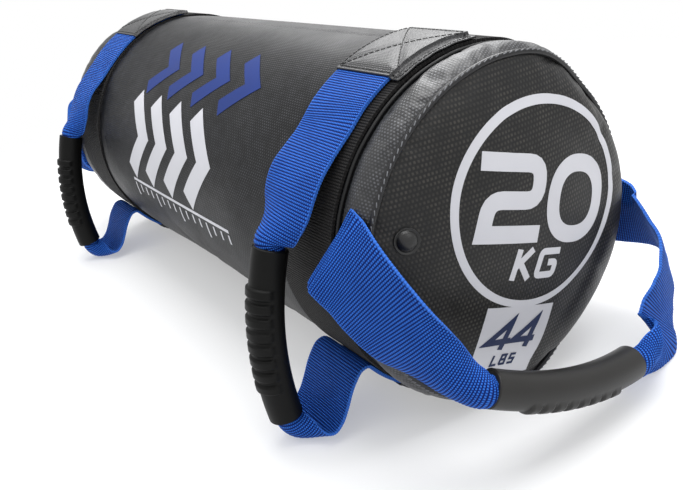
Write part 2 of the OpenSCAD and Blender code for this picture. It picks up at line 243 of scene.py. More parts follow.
# %% Floor and world
WHITE = (1, 1, 1, 1)
bpy.ops.mesh.primitive_circle_add(vertices=96, radius=14, fill_type="NGON", location=(0, 0, -0.0006))
floor = bpy.context.object
floor.name = "studio_floor"
bpy.ops.object.transform_apply(location=True)
material, tree = start_material("matt_white_paint")
place = spot(tree)
distance = add(tree, "VectorMath", {0: place}, operation="LENGTH").outputs["Value"]
far = scaled(tree, distance, 0.3, 0.8, 0.4, smooth=True)
paint = finish(tree, Base_Color=mix(tree, speckle(tree, place, 3.0, 4.0), "#f7f7f7", "#fcfcfc"),
               Roughness=0.9)
glow = value(tree, "Emission", {"Color": WHITE, "Strength": 1.0})
mixed = value(tree, "MixShader", {0: far, 1: paint.outputs[0], 2: glow})
tree.links.new(mixed, tree.nodes["Material Output"].inputs["Surface"])
floor.data.materials.append(material)

world = bpy.data.worlds.new("studio")
bpy.context.scene.world = world
world.use_nodes = True
tree = world.node_tree
rays = add(tree, "LightPath").outputs
mirrored = calc(tree, "MAXIMUM", rays["Is Glossy Ray"], rays["Is Transmission Ray"])
seen = calc(tree, "MAXIMUM", rays["Is Camera Ray"], mirrored)
height = add(tree, "SeparateXYZ", {0: add(tree, "TexCoord").outputs["Generated"]}).outputs["Z"]
ceiling = scaled(tree, height, 0.1, 0.85, 0.16, 1.15, smooth=True)
fill = value(tree, "Background", {"Color": linear("#f2f4f7"), "Strength": ceiling})
bright = value(tree, "Background", {"Color": WHITE, "Strength": 1.0})
mixed = value(tree, "MixShader", {0: seen, 1: fill, 2: bright})
tree.links.new(mixed, tree.nodes["World Output"].inputs["Surface"])
print("floor and world ready")

# %% [markdown]
# Four large soft lamps light the bag: a key lamp high on the front left, a broad one straight above, a weak
# one on the right that opens up the end panel, and one high behind. The last draws the long highlight along
# the top of the barrel and the collar, because glossy black shows light best where it glances off.

# %% Lamps
LAMPS = [("key", (-0.6, -1.3, 2.1), 1.2, 4), ("top", (0.1, 0.3, 2.0), 1.5, 37),
         ("right", (2.2, 0.5, 1.5), 1.2, 7), ("back", (-1.5, 1.3, 1.7), 1.4, 38)]
AIM = Vector((0.05, 0, 0.1))
for name, place, side, watts in LAMPS:
    lamp = bpy.data.objects.new(name + "_lamp", bpy.data.lights.new(name + "_lamp", "AREA"))
    bpy.context.collection.objects.link(lamp)
    lamp.data.size, lamp.data.energy = side, watts
    lamp.location = place
    lamp.visible_camera = False
    lamp.rotation_mode = "QUATERNION"
    lamp.rotation_quaternion = (AIM - Vector(place)).to_track_quat("-Z", "Y")
print(len(LAMPS), "lamps")

# %% [markdown]
# ## Coated fabric
# The cover is PVC-coated polyester. A roller presses a fine basket pattern of little raised dashes into the
# warm coating. The dashes are in the bump, and their soft glints are painted into the colour too: each dash
# is a painted highlight, lighter than the black between them. The dashes are about 2.6 mm long and 1.7 mm
# high. The pattern reads the piece's own UV map, which is in real metres, so it runs round the bag as the cut
# fabric does.

# %% PVC-coated fabric
def staggered(tree, axis, length, pitch, start, end):
    """Rows of small marks, each row half a mark on from the last. Gives how near a place is to the middle
    of its row and of its mark, rising from start to end of a cell's half width. Sizes are millimetres."""
    row = calc(tree, "MULTIPLY", axis["Y"], 1 / (pitch * MM))
    odd = calc(tree, "MULTIPLY", calc(tree, "FLOOR", row), 0.5)
    along = calc(tree, "MULTIPLY_ADD", axis["X"], 1 / (length * MM), odd)
    away = [calc(tree, "ABSOLUTE", calc(tree, "SUBTRACT", calc(tree, "FRACT", cell), 0.5))
            for cell in (row, along)]
    return [scaled(tree, part, start, end, smooth=True) for part in away]


def coated_fabric(name, dash, dark, light, rough, shine):
    """Black embossed PVC coating; light is the painted highlight colour of the raised dashes. The dash size
    is in millimetres, along and across the fabric.
    """
    material, tree = start_material("pvc_coated_fabric_" + name)
    place = spot(tree)
    row, mark = staggered(tree, add(tree, "SeparateXYZ", {0: value(tree, "UVMap")}).outputs, *dash, 0.42, 0.1)
    dash_and_glint = calc(tree, "MULTIPLY", row, mark)
    worn = speckle(tree, place, 14, 5)
    scuff = scaled(tree, worn, 0.35, 0.75)
    uneven = scaled(tree, speckle(tree, place, 130, 3), 0.38, 0.62, 0.3)
    # painted highlight: each raised dash is mixed towards the light colour as its glint
    colour = mix(tree, calc(tree, "MULTIPLY", dash_and_glint, uneven), dark, light)
    finish(tree, Base_Color=mix(tree, calc(tree, "MULTIPLY", scuff, 0.25), colour, "#2c2d30"),
           Roughness=scaled(tree, scuff, 0, 1, rough - 0.05, rough + 0.12), Specular_IOR_Level=shine,
           Normal=relief(tree, calc(tree, "MULTIPLY_ADD", worn, 0.6, dash_and_glint), 0.3, 0.4))
    return material


# the lighter colour of each is the painted glint of its raised dashes
BARREL_VINYL = coated_fabric("barrel", (2.6, 1.7), "#050506", "#3a3b3f", 0.4, 0.12)
COLLAR_VINYL = coated_fabric("collar", (2.1, 1.7), "#08080a", "#5a5b60", 0.4, 0.6)
PANEL_VINYL = coated_fabric("panel", (2.3, 2.6), "#0a0a0a", "#3d3a36", 0.42, 0.32)
PATCH_VINYL = coated_fabric("patch", (2.2, 1.3), "#111113", "#2a2b2e", 0.37, 0.4)
print("coated fabrics:", 4)

# %% [markdown]
# ## Webbing
# Webbing is woven polyester tape. Its weft shows as ribs across the width, one every 1.7 mm, and each rib
# is a row of small knots where the warp passes over it. The ribs are in the mesh, and the knots are in the
# material. The colour also carries painted light: painted shade darkens the grooves between the ribs, the
# knots are painted bright as highlights, and the two edges, where the threads turn round, are painted lighter
# as a highlight. The UV map has metres across the tape in U and along it in V.

# %% Woven polyester
RIB, KNOT = 1.68, 1.45


def woven_tape(name, deep, mid, high, edge, sheen, half=WEB_W / 2):
    """Woven tape: deep is painted shade in the grooves and darker patches, mid the tape's own colour, high
    the painted highlight on the knots, edge the painted highlight along both edges, sheen how strongly its
    fibres glow.
    """
    material, tree = start_material("woven_polyester_" + name)
    uv = value(tree, "UVMap")
    axis = add(tree, "SeparateXYZ", {0: uv}).outputs
    rib, knot = staggered(tree, axis, KNOT, RIB, 0.5, 0.14)
    thread = calc(tree, "MULTIPLY", knot, rib)
    # painted shade: the grooves between the ribs are mixed towards deep
    woven = calc(tree, "MULTIPLY_ADD", thread, 0.45, calc(tree, "MULTIPLY", rib, 0.55))
    base = mix(tree, woven, deep, mid)
    # painted highlight: the knots are mixed towards high
    base = mix(tree, scaled(tree, thread, 0.35, 1.0, 0.0, 0.8), base, high)
    base = mix(tree, scaled(tree, speckle(tree, uv, 45, 4), 0.3, 0.7, 0.0, 0.22), base, deep)
    # painted highlight: both edges of the tape are mixed towards edge
    side = calc(tree, "ABSOLUTE", axis["X"])
    rim = scaled(tree, side, (half - 0.9) * MM, (half - 0.2) * MM, 0.0, 0.7, smooth=True)
    finish(tree, Base_Color=mix(tree, rim, base, edge), Roughness=0.66, Specular_IOR_Level=0.12,
           Normal=relief(tree, calc(tree, "MULTIPLY_ADD", thread, 0.6, rib), 0.55, 0.35),
           Sheen_Weight=sheen, Sheen_Roughness=0.4)
    return material


# deep is painted groove shade, mid the tape's own colour, high the painted knot highlight, edge the painted
# edge highlight
BLUE_WEBBING = woven_tape("blue", "#031550", "#0b3da2", "#3f88ee", "#3c74d6", 0.0)
BLACK_WEBBING = woven_tape("black", "#050505", "#131212", "#3c3a39", "#2b2a2a", 0.04, half=30)
print("rib pitch", RIB, "mm")

# %% [markdown]
# ## Vinyl, rubber, plastic, metal, ink and thread
# Every other finish is made in the same way: a colour and a gloss that drift over the piece, and a fine
# grain in the bump. The piping and the rolled seam are smooth vinyl, stretched over a cord, with small
# creases for grain. The grips are moulded rubber, nearly black. Those on the ends take a lighter grey copy of
# the same rubber, which is painted light for the brighter light they catch from above. The vent caps are
# glossier moulded plastic, and their washers are pressed steel.

# %% Finishes with a grain
def mottled(name, dark, light, broad, fine, bump, gloss, shine, metallic=0.0):
    """Two shades. broad and fine are scale and detail of noise, bump is strength and depth in millimetres."""
    material, tree = start_material(name)
    place = spot(tree)
    drift, grain = speckle(tree, place, *broad), speckle(tree, place, *fine)
    finish(tree, Base_Color=mix(tree, drift, dark, light), Roughness=scaled(tree, drift, 0, 1, *gloss),
           Normal=relief(tree, grain, *bump), Metallic=metallic, Specular_IOR_Level=shine)
    return material


def smooth_vinyl(name, dark, light, rough):
    return mottled("smooth_vinyl_" + name, dark, light, (25, 3), (160, 4), (0.35, 0.5),
                   (rough - 0.08, rough + 0.1), 0.35)


def grained(name, dark, light, rough, grain, depth, spread=0.1, shine=0.5, metallic=0.0):
    """A solid with fine grain of the given size in millimetres."""
    return mottled(name, dark, light, (22, 5), (1 / (grain * MM), 3), (depth, 0.15),
                   (rough - spread, rough + spread), shine, metallic)


def ink(name, dark, light, rough, shine=0.5):
    return grained("screen_ink_" + name, dark, light, rough, 1.2, 0.25, 0.05, shine)


PIPING_VINYL = smooth_vinyl("piping", "#070708", "#101011", 0.5)
SEAM_VINYL = smooth_vinyl("seam", "#141415", "#29292b", 0.34)
GRIP_RUBBER = grained("moulded_rubber", "#060606", "#0f0f0e", 0.48, 0.6, 0.25, shine=0.14)
# painted light: a lighter grey copy of the grip rubber, standing in for the top light on the end grips
PAINTED_TOPLIGHT_RUBBER = grained("moulded_rubber_scuffed", "#151413", "#232220", 0.4, 0.6, 0.25, 0.06, 0.38)
VENT_PLASTIC = grained("moulded_polypropylene", "#101010", "#1e1e1e", 0.36, 0.5, 0.15)
WASHER_STEEL = grained("pressed_steel", "#8d9094", "#b9bcc0", 0.35, 0.3, 0.2, metallic=1.0)
WHITE_INK = ink("white", "#c9c9cf", "#d8d8dd", 0.5)
BLUE_INK = ink("blue", "#0b2768", "#12337f", 0.45, 0.15)
NAVY_INK = ink("navy", "#132145", "#1b2d58", 0.5, 0.25)
BLACK_THREAD = grained("bonded_nylon_thread_black", "#0a0a0a", "#151515", 0.5, 0.25, 0.4)
# grey: partly the thread's colour, partly painted highlight for the glints along the end seam
GREY_THREAD = grained("bonded_nylon_thread_grey", "#55565a", "#7c7d81", 0.5, 0.25, 0.4)
FOAM = grained("closed_cell_foam", "#3a3d40", "#4a4e52", 0.85, 1.5, 0.8)
LINER = grained("coated_nylon_liner", "#3c4248", "#4b525a", 0.5, 1.0, 0.4)
POUCH = grained("sewn_canvas_pouch", "#77705f", "#8d8672", 0.8, 0.8, 0.7)
print("materials:", len(bpy.data.materials))

# %% [markdown]
# ## Helpers for meshes
# Pieces are worked on with Blender's own edit-mode operators and modifiers, as a modeller would by hand.
# Each modifier is applied as soon as it is added, so every later step sees the real mesh.

# %% Editing a mesh
def lone(piece):
    """Makes one object the only selected and active one."""
    bpy.ops.object.select_all(action="DESELECT")
    piece.select_set(True)
    bpy.context.view_layer.objects.active = piece


def in_edit(piece, *steps):
    """Runs edit-mode operators on all of a piece."""
    lone(piece)
    bpy.ops.object.mode_set(mode="EDIT")
    bpy.ops.mesh.select_all(action="SELECT")
    for step in steps:
        step()
    bpy.ops.object.mode_set(mode="OBJECT")


def in_edit_on(piece, chosen, step):
    """Runs one edit-mode operator on the chosen vertices and the edges between them."""
    in_edit(piece, lambda: bpy.ops.mesh.select_all(action="DESELECT"))
    piece.data.vertices.foreach_set("select", chosen)
    piece.data.edges.foreach_set("select", [bool(chosen[list(e.vertices)].all()) for e in piece.data.edges])
    bpy.ops.object.mode_set(mode="EDIT")
    step()
    bpy.ops.object.mode_set(mode="OBJECT")


def faces_out():
    bpy.ops.mesh.normals_make_consistent(inside=False)


def outwards():
    bpy.ops.mesh.remove_doubles(threshold=0.00002)
    faces_out()


def points_of(piece):
    return np.array([v.co for v in piece.data.vertices]) / MM


def put(piece, points):
    """Moves the vertices of a piece to points in millimetres."""
    piece.data.vertices.foreach_set("co", (points * MM).astype(np.float32).reshape(-1))
    piece.data.update()


def apply_modifier(piece, kind, **settings):
    """Adds a modifier and applies it at once."""
    lone(piece)
    made = piece.modifiers.new(kind.lower(), kind)
    for key, setting in settings.items():
        setattr(made, key, setting)
    bpy.ops.object.modifier_apply(modifier=made.name)


def smoothed(piece):
    apply_modifier(piece, "SUBSURF", levels=1, render_levels=1)


def thicken(piece, wall):
    apply_modifier(piece, "SOLIDIFY", thickness=wall * MM, offset=-1)


def rounded_edges(piece, width, angle):
    apply_modifier(piece, "BEVEL", width=width * MM, segments=2, limit_method="ANGLE",
                   angle_limit=math.radians(angle))


print("edit helpers ready")

# %% [markdown]
# Soft pieces and webbing start as a grid of points worked out in millimetres. The grid is turned into a
# mesh with its UV map, and its faces are turned outwards. Other pieces start from a primitive. Every piece
# ends with smooth shading and one material.

# %% Making a piece
def finish_piece(piece, material, angle=50):
    """Smooth shading with its sharp edges kept, and one material."""
    lone(piece)
    bpy.ops.object.shade_smooth_by_angle(angle=math.radians(angle))
    piece.data.materials.clear()
    piece.data.materials.append(material)
    return piece


def mesh_piece(name, points, faces):
    """An object made of points in millimetres and faces."""
    mesh = bpy.data.meshes.new(name)
    mesh.from_pydata((np.array(points) * MM).tolist(), [], faces)
    piece = bpy.data.objects.new(name, mesh)
    bpy.context.collection.objects.link(piece)
    return piece


def grid_piece(name, points, uv, round_rows=False, round_columns=False):
    """A mesh from a grid of points in millimetres, with a UV map in metres, closed round where asked."""
    rows, columns = points.shape[:2]
    index = np.arange(rows * columns).reshape(rows, columns)
    a = index if round_rows else index[:-1]
    b = np.roll(index, -1, 0) if round_rows else index[1:]
    sides = (lambda g: (g, np.roll(g, -1, 1))) if round_columns else (lambda g: (g[:, :-1], g[:, 1:]))
    (a0, a1), (b0, b1) = sides(a), sides(b)
    faces = np.stack([a0, a1, b1, b0], -1).reshape(-1, 4)
    piece = mesh_piece(name, points.reshape(-1, 3), faces.tolist())
    flat = (uv.reshape(-1, 2) * MM)[faces.reshape(-1)]
    piece.data.uv_layers.new(name="UVMap").data.foreach_set("uv", flat.astype(np.float32).reshape(-1))
    return piece


def named(name):
    """Gives the object that a primitive has just made its name, and its mesh the same."""
    piece = bpy.context.object
    bpy.ops.object.transform_apply()
    piece.name = piece.data.name = name
    return piece


def copy_of(piece, name, matrix):
    """A copy with its own mesh, moved by a matrix. A mirrored copy has its faces turned back."""
    made = piece.copy()
    made.data = piece.data.copy()
    made.name = made.data.name = name
    bpy.context.collection.objects.link(made)
    made.data.transform(matrix)
    if matrix.determinant() < 0:
        made.data.flip_normals()
    return made


MIRROR = Matrix.Diagonal((-1, 1, 1, 1))
SIDES = (("right", 1), ("left", -1))
print("pieces can be made and mirrored")

# %% [markdown]
# Nearly every piece is part of the bag itself and has a mirror image at the other end. Two helpers say so:
# what a piece moves with, and which CAD node it stands for, which is then hidden.

# %% Pieces of the bag
def on_the_bag(piece, node=None):
    """A piece that moves with the bag, and the CAD node that it stands for, if any, which is hidden."""
    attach(piece, "bag")
    if node:
        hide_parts(node)


def on_side(piece, side):
    """The piece itself on the right, and its mirror image on the left."""
    return piece if side == "right" else copy_of(piece, piece.name.replace("right", "left"), MIRROR)


def both_ends(right, kind=None):
    """Puts a piece and its mirror image on the bag, and gives them by side."""
    made = {}
    for side, _ in SIDES:
        made[side] = on_side(right, side)
        on_the_bag(made[side], kind and f"{kind}_{side}")
    print(right.name, "and its mirror image,", len(right.data.polygons), "faces each")
    return made


print("sides:", [side for side, _ in SIDES])

# %% [markdown]
# ## Stuffed fabric
# A stuffed panel is larger than the hole it closes. The filling pushes it out, and the spare cloth gathers
# into small puckers along the seam. Blender's cloth does the same: the piece is pinned along its seams,
# given a little spare cloth and blown up by pressure, for twenty frames. How far a point may move is
# capped, so the piece stays in the space that its CAD solid holds.

# %% Cloth under pressure
FRAMES, STIFFNESS = 20, 15.0


def stuff(piece, pinned, pressure, spare, cap):
    """Blows a piece up between its pinned points, and moves no point further than cap millimetres."""
    start = points_of(piece)
    pins = piece.vertex_groups.new(name="seam")
    pins.add([int(i) for i in np.flatnonzero(pinned)], 1.0, "REPLACE")
    settings = piece.modifiers.new("cloth", "CLOTH").settings
    settings.vertex_group_mass = "seam"
    settings.effector_weights.gravity = 0
    settings.use_pressure, settings.uniform_pressure_force = True, pressure
    settings.shrink_min = -spare
    settings.quality = 6
    settings.mass = 0.4
    settings.tension_stiffness = settings.compression_stiffness = STIFFNESS
    settings.bending_stiffness = 0.4
    scene = bpy.context.scene
    for number in range(1, FRAMES + 1):
        scene.frame_set(number)
    lone(piece)
    bpy.ops.object.modifier_apply(modifier="cloth")
    scene.frame_set(1)
    piece.vertex_groups.clear()
    moved = points_of(piece) - start
    length = np.linalg.norm(moved, axis=1, keepdims=True)
    put(piece, start + moved * cap * np.tanh(length / cap) / np.maximum(length, 1e-6))
    print(piece.name, "moved up to", round(float(length.max()), 1), "mm, kept", cap)


# %% [markdown]
# ## The barrel
# The barrel is one sheet of coated fabric sewn into a tube. It lies flat on the floor along a narrow strip,
# and is drawn in a little where the webbing bands go round it. It is pinned at both ends and under the
# bands, stuffed, smoothed by one level of subdivision, and given its 1.5 mm wall.

# %% Barrel cover
along = np.concatenate([np.linspace(-COLLAR_X - 1.2, COLLAR_X + 1.2, 95),
                        [-BAND_OUT, -BAND_IN, BAND_IN, BAND_OUT]])
x, angle = np.meshgrid(np.unique(along), full_turn(124))
under_band = np.abs(x) > BAND_IN
tuck = 3.2 * np.clip((np.abs(x) - (COLLAR_X - 2.5)) / 2.5, 0, 1) ** 1.5
cover = laid(x, angle, BAG_R - 0.3 - 0.5 * under_band - tuck, 0.4 + 2.0 * under_band)
barrel = grid_piece("barrel_cover_sewn", cover, np.stack([x, np.radians(angle) * BAG_R], -1), round_rows=True)
in_edit(barrel, faces_out)
held = np.array([abs(v.co.x) > (BAND_IN + 2) * MM or v.co.z < 1.2 * MM for v in barrel.data.vertices])
stuff(barrel, held, pressure=3.0, spare=0.012, cap=2.2)
smoothed(barrel)
thicken(barrel, WALL)
finish_piece(barrel, BARREL_VINYL, 60)
on_the_bag(barrel, "barrel_cover")
print("barrel cover", len(barrel.data.polygons), "faces")

# %% [markdown]
# ## The collars
# A collar is a strip of the same fabric, 24 mm wide, between the barrel and the end panel. It stands up
# as a soft roll, because both its edges are sewn down and the filling pushes between them. One is made and
# stuffed, and the other is its mirror image.

# %% Collars
ROLL_R = (101.2, 104.4, 105.6, 105.7, 105.0, 103.4, SEAM_R + 1.2)
ROLL_X = (COLLAR_X - 0.9, COLLAR_X + 1.9, COLLAR_X + 7, COLLAR_X + 13, COLLAR_X + 18.5, COLLAR_X + 22,
          END_X - 0.8)
t, marks = np.linspace(0, 1, 15), np.linspace(0, 1, len(ROLL_R))
roll_r, roll_x = np.interp(t, marks, ROLL_R), np.interp(t, marks, ROLL_X)
angle, column = np.meshgrid(full_turn(240), np.arange(len(t)), indexing="ij")
run = np.concatenate([[0], np.cumsum(np.hypot(np.diff(roll_r), np.diff(roll_x)))])
collar = grid_piece("collar_right_sewn", laid(roll_x[column], angle, roll_r[column], 0.6),
                    np.stack([run[column], np.radians(angle) * BAG_R], -1), round_rows=True)
in_edit(collar, faces_out)
stuff(collar, np.isin(column, (0, len(t) - 1)).ravel(), pressure=4.0, spare=0.025, cap=1.6)
smoothed(collar)
thicken(collar, WALL)
both_ends(finish_piece(collar, COLLAR_VINYL, 60), "collar")

# %% [markdown]
# ## The end panels
# The end panel is a disc of fabric sewn into the collar. It bulges 15 mm, and its spare cloth makes fine
# puckers just inside the seam. At the back it bulges over its own seam like a pillow. It sinks a little round
# its vent, where the washer pulls it down. It is stuffed, smoothed, dented and then thickened.

# %% End panels
VENT = Vector([sum(c) / 2 for c in zip(*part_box("vent_cap_right"))]) / MM
rings = np.concatenate([[0.6], np.linspace(4, SEAM_R - 8, 22), [94.5, 96.8, 98.8, SEAM_R + 0.6]])
angle, r = np.meshgrid(full_turn(156), rings, indexing="ij")
pillow = 3.2 * np.sin(np.pi * np.clip((r - 66) / 32, 0, 1)) * sunk(-angle)
disc = laid(END_X - 1.0 + bulge(r) + pillow, angle, r, 1.2)
panel = grid_piece("end_panel_right_sewn", disc, disc[..., 1:], round_rows=True)
in_edit(panel, faces_out)
if sum(p.normal.x for p in panel.data.polygons) < 0:
    panel.data.flip_normals()
stuff(panel, (r >= rings[-1]).ravel(), pressure=3.0, spare=0.02, cap=2.6)
middle = np.hypot(*(points_of(panel)[:, 1:] - [0, AXIS_Z]).T) < 1.0
in_edit_on(panel, middle, lambda: bpy.ops.mesh.merge(type="CENTER"))
smoothed(panel)

DENTS = [(VENT[1:], 11, 1.6), ((18, 28), 24, -1.0), ((-50, 150), 18, 1.1), ((20, 182), 20, 0.9),
         ((62, 132), 22, 1.0), ((-62, 66), 17, 1.3), ((-24, 33), 16, 1.2), ((40, 50), 20, 1.0)]
co = points_of(panel)
for centre, reach, depth in DENTS:          # a soft round hollow at y and z, or a swelling
    co[:, 0] -= depth * np.exp(-(np.linalg.norm(co[:, 1:] - centre, axis=1) / reach) ** 2)
put(panel, co)
thicken(panel, WALL)
panels = both_ends(finish_piece(panel, PANEL_VINYL, 60), "end_panel")

# %% [markdown]
# ## Piping and rolled seams
# A thin cord covered in smooth vinyl fills the groove between barrel and collar. The seam round each end
# panel is a rolled edge of the same vinyl. Both are one small circle spun about the axis of the bag, then
# pressed flat where the bag stands on the floor.

# %% Beads round the bag
def bead(name, x, ring_r, r, material, floor):
    """A round bead about the axis of the bag, made by spinning one circle."""
    bpy.ops.mesh.primitive_circle_add(vertices=12, radius=r * MM, rotation=(math.pi / 2, 0, 0),
                                      location=(x * MM, 0, (AXIS_Z + ring_r) * MM))
    piece = named(name)
    in_edit(piece, lambda: bpy.ops.mesh.spin(steps=240, angle=2 * math.pi, center=(0, 0, AXIS_Z * MM),
                                             axis=(1, 0, 0)))
    in_edit(piece, outwards)
    co = points_of(piece)
    turn = np.arctan2(co[:, 1], co[:, 2] - AXIS_Z)
    co[:, 0] += 0.6 * (0.35 * np.sin(11 * turn + 1.0) * np.sin(5 * turn) + 0.2 * np.sin(23 * turn))
    put(piece, settle(slump(co), floor, 1.0))
    return finish_piece(piece, material, 60)


piping = bead("piping_right_rolled", BAND_OUT + 1.5, BAG_R - 0.9, 1.2, PIPING_VINYL, 0.7)
both_ends(piping, "piping")
seam = bead("edge_seam_right_rolled", END_X - 0.4, SEAM_R + 1.2, 1.7, SEAM_VINYL, 0.9)
both_ends(seam, "edge_seam")

# %% [markdown]
# ## Webbing as a tape
# A strap is a tape of woven polyester. Its path is a list of stations: a point on its middle line, the
# direction across it, how far the tape is curled round, and how far it is gathered. A smooth curve goes
# through the stations, and a row of the mesh is laid every quarter of a rib, so each rib stands up in the
# mesh.

# %% Smooth paths
def unit(v):
    return v / np.linalg.norm(v, axis=-1, keepdims=True)


def length_along(points):
    return np.concatenate([[0], np.cumsum(np.linalg.norm(np.diff(points, axis=0), axis=1))])


def even(stations, step=RIB / 4):
    """A smooth curve through the stations, cut into even steps along its length."""
    s = np.array(stations, float)
    s = np.concatenate([[2 * s[0] - s[1]], s, [2 * s[-1] - s[-2]]])
    t = np.linspace(0, 1, 40, endpoint=False)[:, None]
    fine = [0.5 * (2 * b + (c - a) * t + (2 * a - 5 * b + 4 * c - d) * t ** 2
                   + (3 * b - a - 3 * c + d) * t ** 3)
            for a, b, c, d in zip(s, s[1:], s[2:], s[3:])]
    fine = np.concatenate(fine + [s[-2:-1]])
    run = length_along(fine[:, :3])
    marks = np.arange(0, run[-1], step)
    return marks, np.stack([np.interp(marks, run, column) for column in fine.T], -1)


HULL_X = (0, 171, 172.5, 234, 236, 250, 255, 259, 262, 265)
HULL_R = (105.8, 105.8, 107.3, 107.3, 107.0, 107.0, 106.0, 103.6, 101.5, 60)


def off_the_bag(points, clear):
    """Moves points that are inside the bag, or nearer to it than clear, straight out from its axis."""
    spoke = points - np.array([0, 0, AXIS_Z])
    spoke[..., 0] = 0
    r = np.linalg.norm(spoke, axis=-1)
    short = np.interp(np.abs(points[..., 0]), HULL_X, HULL_R) + clear - r
    push = (short + np.sqrt(short ** 2 + 0.8)) / 2 * (short > -6)
    return points + spoke / r[..., None] * push[..., None]


print("the bag is", 2 * HULL_X[-1], "mm long to a strap that lies on it")

# %% [markdown]
# Both faces of the tape are laid out along that curve, with the ribs standing up on them. Where a strap
# enters a grip its edges curl back until they meet behind it. No part of a tape goes into the bag.

# %% Tape along a path
def tape(name, stations, width=WEB_W, floor=None, ripple=0.0):
    """Blue webbing along stations of (x, y, z, across x, y, z, curl in radians, gather)."""
    run, path = even(stations)
    centre, across = path[:, :3], path[:, 3:6]
    ahead = unit(np.gradient(centre, axis=0))
    across = unit(across - ahead * np.sum(across * ahead, 1, keepdims=True))
    out = np.cross(ahead, across)
    curl, gather = np.maximum(path[:, 6:7], 0.02), path[:, 7:8]
    rib = 0.3 * (0.5 - 0.5 * np.cos(2 * np.pi * run / RIB))[:, None]
    u = np.linspace(-1, 1, 23)
    faces = []
    for side, line in ((1, u), (-1, u[::-1])):
        turn = curl * line / 2
        radius = width * gather / curl
        level = radius * (np.cos(turn) - np.sinc(curl / 2 / np.pi))
        lie = centre[:, None] + out[:, None] * level[..., None]
        lie = off_the_bag(lie + across[:, None] * (radius * np.sin(turn))[..., None], WEB_T / 2 - 0.1)
        normal = out[:, None] * np.cos(turn)[..., None] + across[:, None] * np.sin(turn)[..., None]
        edge = np.where(np.abs(line) > 0.999, 0.75, 1.0)
        lift = side * (WEB_T / 2 + rib) * edge
        wave = ripple * np.sin(run / 17.0)[:, None] * np.sin(line * 2.4 + run[:, None] / 23.0)
        faces.append(lie + normal * (lift + wave)[..., None])
    points = np.concatenate(faces, 1)
    if floor is not None:
        settle(points, floor, 0.8)
    uv = np.stack(np.broadcast_arrays(np.concatenate([u, u[::-1]])[None, :] * width / 2, run[:, None]), -1)
    piece = grid_piece(name, points, uv, round_columns=True)
    in_edit(piece, lambda: bpy.ops.mesh.fill_holes(sides=0), faces_out)
    print(name, round(float(run[-1])), "mm long,", len(piece.data.polygons), "faces")
    return finish_piece(piece, BLUE_WEBBING)


X_AXIS = (1, 0, 0)
TIGHT, NECK = 5.5, 0.72     # curl and gather where the tape is inside a grip


def sewn_strap(strap, kind, start, end):
    """A tape and its mirror image, put in place of the CAD strap and its ends, which are hidden. start and
    end are not used.
    """
    for side, sign in SIDES:
        piece = on_side(strap, side)
        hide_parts(f"{kind}_strap_{side}", f"{kind}_strap_ends_{side}")
        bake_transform(piece)


# %% [markdown]
# ## The bands
# A ribbed black band goes right round the bag under each front handle and carries its pull. It is the same
# tape as the handles, 60 mm wide, closed into a ring and pressed flat under the bag.

# %% Bands
ribs = round(2 * math.pi * BAND_R / RIB)
angle = full_turn(ribs * 4)[:, None]
rise = 0.2 * (0.5 - 0.5 * np.cos(np.radians(angle) * ribs))
cut = np.linspace(BAND_IN + 0.3, BAND_OUT - 0.3, 11)
outer = laid(cut, angle, BAND_R - 0.2 + rise, 0.15, 1.2)
inner = laid(cut[::-1], angle, BAG_R + 0.1, 1.9, 1.2)
flat = np.concatenate([cut, cut[::-1]]) - (BAND_IN + BAND_OUT) / 2
uv = np.stack(np.broadcast_arrays(flat, np.radians(angle) * BAND_R), -1)
band = grid_piece("band_right_woven", np.concatenate([outer, inner], 1), uv, round_rows=True,
                  round_columns=True)
in_edit(band, faces_out)
both_ends(finish_piece(band, BLACK_WEBBING), "band")
print("band", ribs, "ribs")

# %% [markdown]
# ## Front handles
# The strap of a front handle starts under a patch on top, lies on the band, leaves the bag and curls into
# the grip. A second length comes out of the grip's lower end, drops to the floor, folds over and goes up
# under the bag to its lower patch. Each is one tape that bends between the bag and the handle.

# %% Front straps
def in_front(d, h, curl=0.0, gather=1.0, x=0.0, tilt=0.0):
    """Station of a front strap: d in front of the axis, h above it, x aside, inner edge out by tilt."""
    across = np.array([1, tilt * d, -tilt * h]) / np.array([1, np.hypot(d, h), np.hypot(d, h)])
    return (FRONT_X + x, -d, AXIS_Z + h, *across, curl, gather)


def lying(*degrees):
    """Stations of a strap that lies on its band."""
    return [in_front(STRAP_R * math.sin(math.radians(a)), STRAP_R * math.cos(math.radians(a)))
            for a in degrees]


UPPER_FREE = [
    (74.2, 79.2, 0, 0.98, 1.0), (82.0, 72.8, 0, 0.97, 1.1, -0.01), (90.0, 66.6, 0.05, 0.99, 0.8),
    (98.2, 60.0, 0.1, 1.0, 0.8, 0.025), (105.2, 51.8, 0.25, 1.0, 0.9, 0.03),
    (111.6, 42.4, 0.7, 0.97, 0.6, 0.02), (118.4, 33.6, 1.9, 0.87, -0.3), (124.2, 25.6, 4.3, 0.8, -1.2),
    (124.8, 18.0, TIGHT, NECK), (127.2, 9.5, TIGHT, NECK)]
LOWER_FREE = [
    (136.7, -72.5, TIGHT, NECK), (137.4, -82.4, TIGHT, NECK), (136.6, -88.2, 4.4, 0.8),
    (132.6, -94.6, 2.9, 0.92), (126.0, -97.6, 1.5, 0.99), (119.2, -96.4, 0.7), (113.4, -90.6, 0.3),
    (109.0, -82.6, 0.1), (105.0, -74.4), (100.2, -67.4), (95.0, -62.6)]
front_upper = tape("front_strap_upper_right", lying(-4.2, 4, 15, 26, 36) + [in_front(*s) for s in UPPER_FREE],
                   ripple=0.25)
front_lower = tape("front_strap_lower_right",
                   [in_front(*s) for s in LOWER_FREE] + lying(125.5, 132, 139, 146, 152.5), floor=0.5)
sewn_strap(front_upper, "front", (FRONT_X, -87, 165), (FRONT_X, -116, 132))
